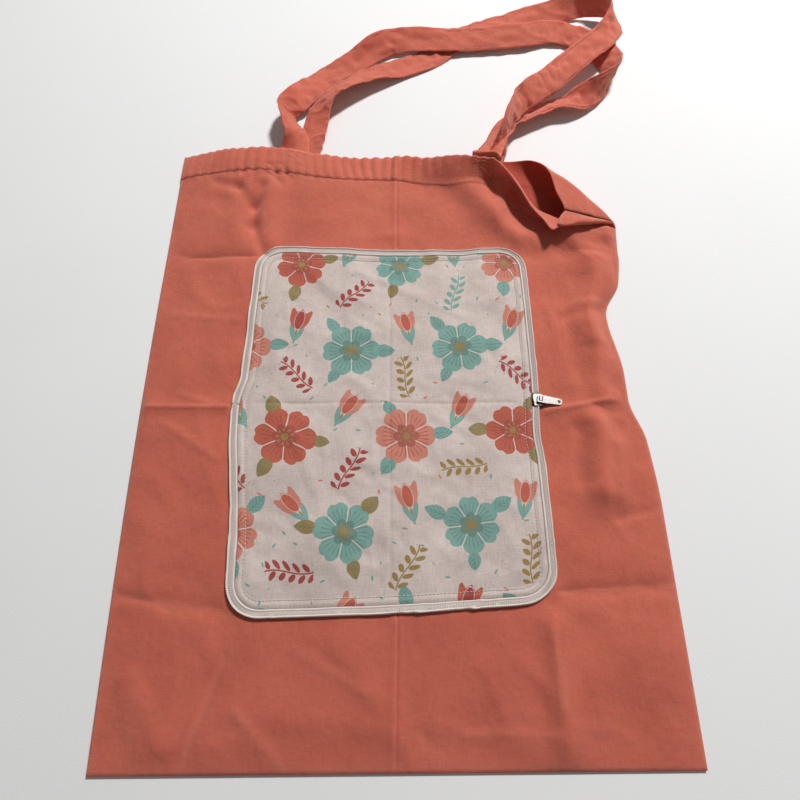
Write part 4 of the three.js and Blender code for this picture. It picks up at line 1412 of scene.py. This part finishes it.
def sprig_layers(cell):
    """A bent twig with small leaves by turns on both sides."""
    x, y = (part / SPRIG_SCALE for part in cell.turned(cell.chances[2] * FULL_TURN))
    x = x - (y * 0.16).sin() * 2.0
    reach = span(y, 13.5)
    tone = cell.pick(0, 0.67, cell.pick(0, 0.34, RED_INK, GOLD_INK), MINT_INK)
    layers = [(band(x, 0.4).inside() * reach.inside(), tone)]
    for side in (-1.0, 1.0):
        step = ((y / BUD_SPACING + side * 0.25).fraction() - 0.5) * BUD_SPACING
        out = x * side - 2.9
        bud = oval(out * 0.77 + step * 0.64, step * 0.77 - out * 0.64, 2.8, 1.35)
        layers.append((bud.inside() * (reach - 0.8).inside(), tone))
    return layers


def dash_layers(cell):
    x, y = cell.turned(cell.chances[2] * FULL_TURN)
    return [(oval(x, y, 2.0, 0.75).inside(), cell.pick(0, 0.75, MINT_INK, SALMON_INK))]


def print_material(name):
    """White cotton printed with blossoms, tulips, sprigs and dashes, a little rubbed."""
    graph = Graph(name)
    x, y, vector = graph.flat_place()
    height, slubs = weave(graph, x, y)
    clouds = graph.noise(vector, 40.0, 4.0, 0.6)
    shade = ((clouds * 0.5 + slubs * 0.7 - 0.3) * 2.2).clamped()
    ground = graph.blend(shade, GROUND_DARK, GROUND_LIGHT)
    lattices = (BLOSSOMS, TULIPS, SPRIGS, DASHES)
    blossom, tulip, sprig, dash = (Cell(graph, x, y, lattice) for lattice in lattices)
    clear = blossom.clear() * tulip.clear() * sprig.clear()
    colour = graph.blend(clear, ground, graph.paint(ground, *dash_layers(dash)))
    motifs = sprig_layers(sprig) + tulip_layers(tulip) + blossom_layers(blossom)
    rubbed = graph.noise(vector, 1.6, 3.0, 0.7) * 0.12 + slubs * 0.06
    colour = graph.paint(colour, *motifs, (rubbed, ground))
    relief = graph.noise(vector, 8.0, 3.0, 0.6) * 0.25 + slubs * 0.1 + height * 0.06
    return graph.finish(colour, relief, roughness=slubs * 0.15 + 0.75, sheen_weight=0.15)


# The scene


SUN = Vector((0.30, 0.567, 0.766))
LAMP = {"size": 0.3, "energy": 43, "distance": 2.2}
SKY = 0.17
FLOOR_SIZE = 3.0
CAMERA = {"lens": 27, "sensor": 36, "near": 0.01, "angles": (68.04, 1.03, 0.62)}
CAMERA_PLACE = (0.00064, -0.16757, 0.42832)


def add_trims(front_rows, back_rows):
    """The coil and all the stitches, each with its material."""
    coil = thread_material("coil", *COIL_TONES)
    white_thread = thread_material("white_thread", *WHITE_THREAD_TONES)
    coral_thread = thread_material("coral_thread", *CORAL_THREAD_TONES)
    trims = [
        (add_teeth("zip_teeth_upper", 1), coil),
        (add_teeth("zip_teeth_lower", -1), coil),
        (add_pocket_stitches(), white_thread),
        (add_hem_stitches(), coral_thread),
    ]
    for number, middle in enumerate(FRONT_HANDLE_ENDS, 1):
        trims.append((add_box_stitches(f"patch_stitches_{number}", middle), coral_thread))
    for name, rows in (("front_strap", front_rows), ("back_strap", back_rows)):
        trims.append((add_strap_stitches(f"{name}_stitches", rows), coral_thread))
    for piece, material in trims:
        piece.data.materials.append(material)
        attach(piece, "root")


def main():
    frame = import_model()
    nodes = frame["nodes"]
    coral, pale = coral_material("coral"), print_material("print")
    white, metal = tape_material("white"), metal_material("nickel")
    front, back = add_front_cloth(), add_back_cloth()
    front_rows = strap_rows(front_point, -1, FRONT_HANDLE_ENDS, FRONT_STRAP, SEWN_PARTS)
    back_rows = strap_rows(back_point, 1, BACK_HANDLE_ENDS, BACK_STRAP, INNER_PARTS)
    front_strap = add_strap("front_strap", front_rows)
    back_strap = add_strap("back_strap", back_rows)
    pocket = add_pocket()
    pieces = (
        (front, "bag_front_panel", coral, "coral_cotton"),
        (back, "bag_back_panel", coral, "coral_cotton"),
        (front_strap, "front_handle", coral, "coral_cotton"),
        (back_strap, "back_handle", coral, "coral_cotton"),
        (pocket, "pocket_panel", pale, "printed_cotton"),
        (add_tape("zip_upper", 1), "zip_tape_upper", white, "zip_tape"),
        (add_tape("zip_lower", -1), "zip_tape_lower", white, "zip_tape"),
    )
    add_trims(front_rows, back_rows)
    for piece, node, material, slot in pieces:
        piece.data.materials.append(material)
        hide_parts(node)
        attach(piece, "root")
    for name in ("zip_slider", "zip_pull"):
        nodes[name].data.materials.clear()
        nodes[name].data.materials.append(metal)
    add_floor()
    add_lights()
    add_camera()


def add_floor():
    mesh = bpy.data.meshes.new("floor")
    corners = [(x * FLOOR_SIZE, y * FLOOR_SIZE, 0) for x, y in ((-1, -1), (1, -1), (1, 1), (-1, 1))]
    mesh.from_pydata(corners, [], [(0, 1, 2, 3)])
    floor = link("floor", mesh)
    floor.data.materials.append(floor_material("pale_floor"))


def add_lights():
    light = bpy.data.lights.new("key", "AREA")
    light.shape = "DISK"
    light.size = LAMP["size"]
    light.energy = LAMP["energy"]
    lamp = link("key", light)
    lamp.location = SUN * LAMP["distance"]
    lamp.rotation_euler = (-SUN).to_track_quat("-Z", "Y").to_euler()
    world = bpy.data.worlds.new("studio")
    world.use_nodes = True
    background = world.node_tree.nodes["Background"].inputs
    background["Color"].default_value = (1, 1, 1, 1)
    background["Strength"].default_value = SKY
    bpy.context.scene.world = world
    bpy.context.scene.view_settings.view_transform = "Standard"


def add_camera():
    """The photo's view, by the angle down, the turn to the right and the roll in degrees."""
    camera = link("camera", bpy.data.cameras.new("camera"))
    camera.data.lens = CAMERA["lens"]
    camera.data.sensor_width = CAMERA["sensor"]
    camera.data.clip_start = CAMERA["near"]
    down, yaw, roll = np.radians(CAMERA["angles"])
    level = np.array([np.sin(yaw), np.cos(yaw), 0]) * np.cos(down)
    forward = level - np.array([0, 0, np.sin(down)])
    right = np.array([np.cos(yaw), -np.sin(yaw), 0])
    up = np.cross(right, forward)
    turned_right = right * np.cos(roll) + up * np.sin(roll)
    turned_up = up * np.cos(roll) - right * np.sin(roll)
    frame = Matrix(np.stack([turned_right, turned_up, -forward], axis=1).tolist()).to_4x4()
    frame.translation = Vector(CAMERA_PLACE)
    camera.matrix_world = frame
    bpy.context.scene.camera = camera


main()
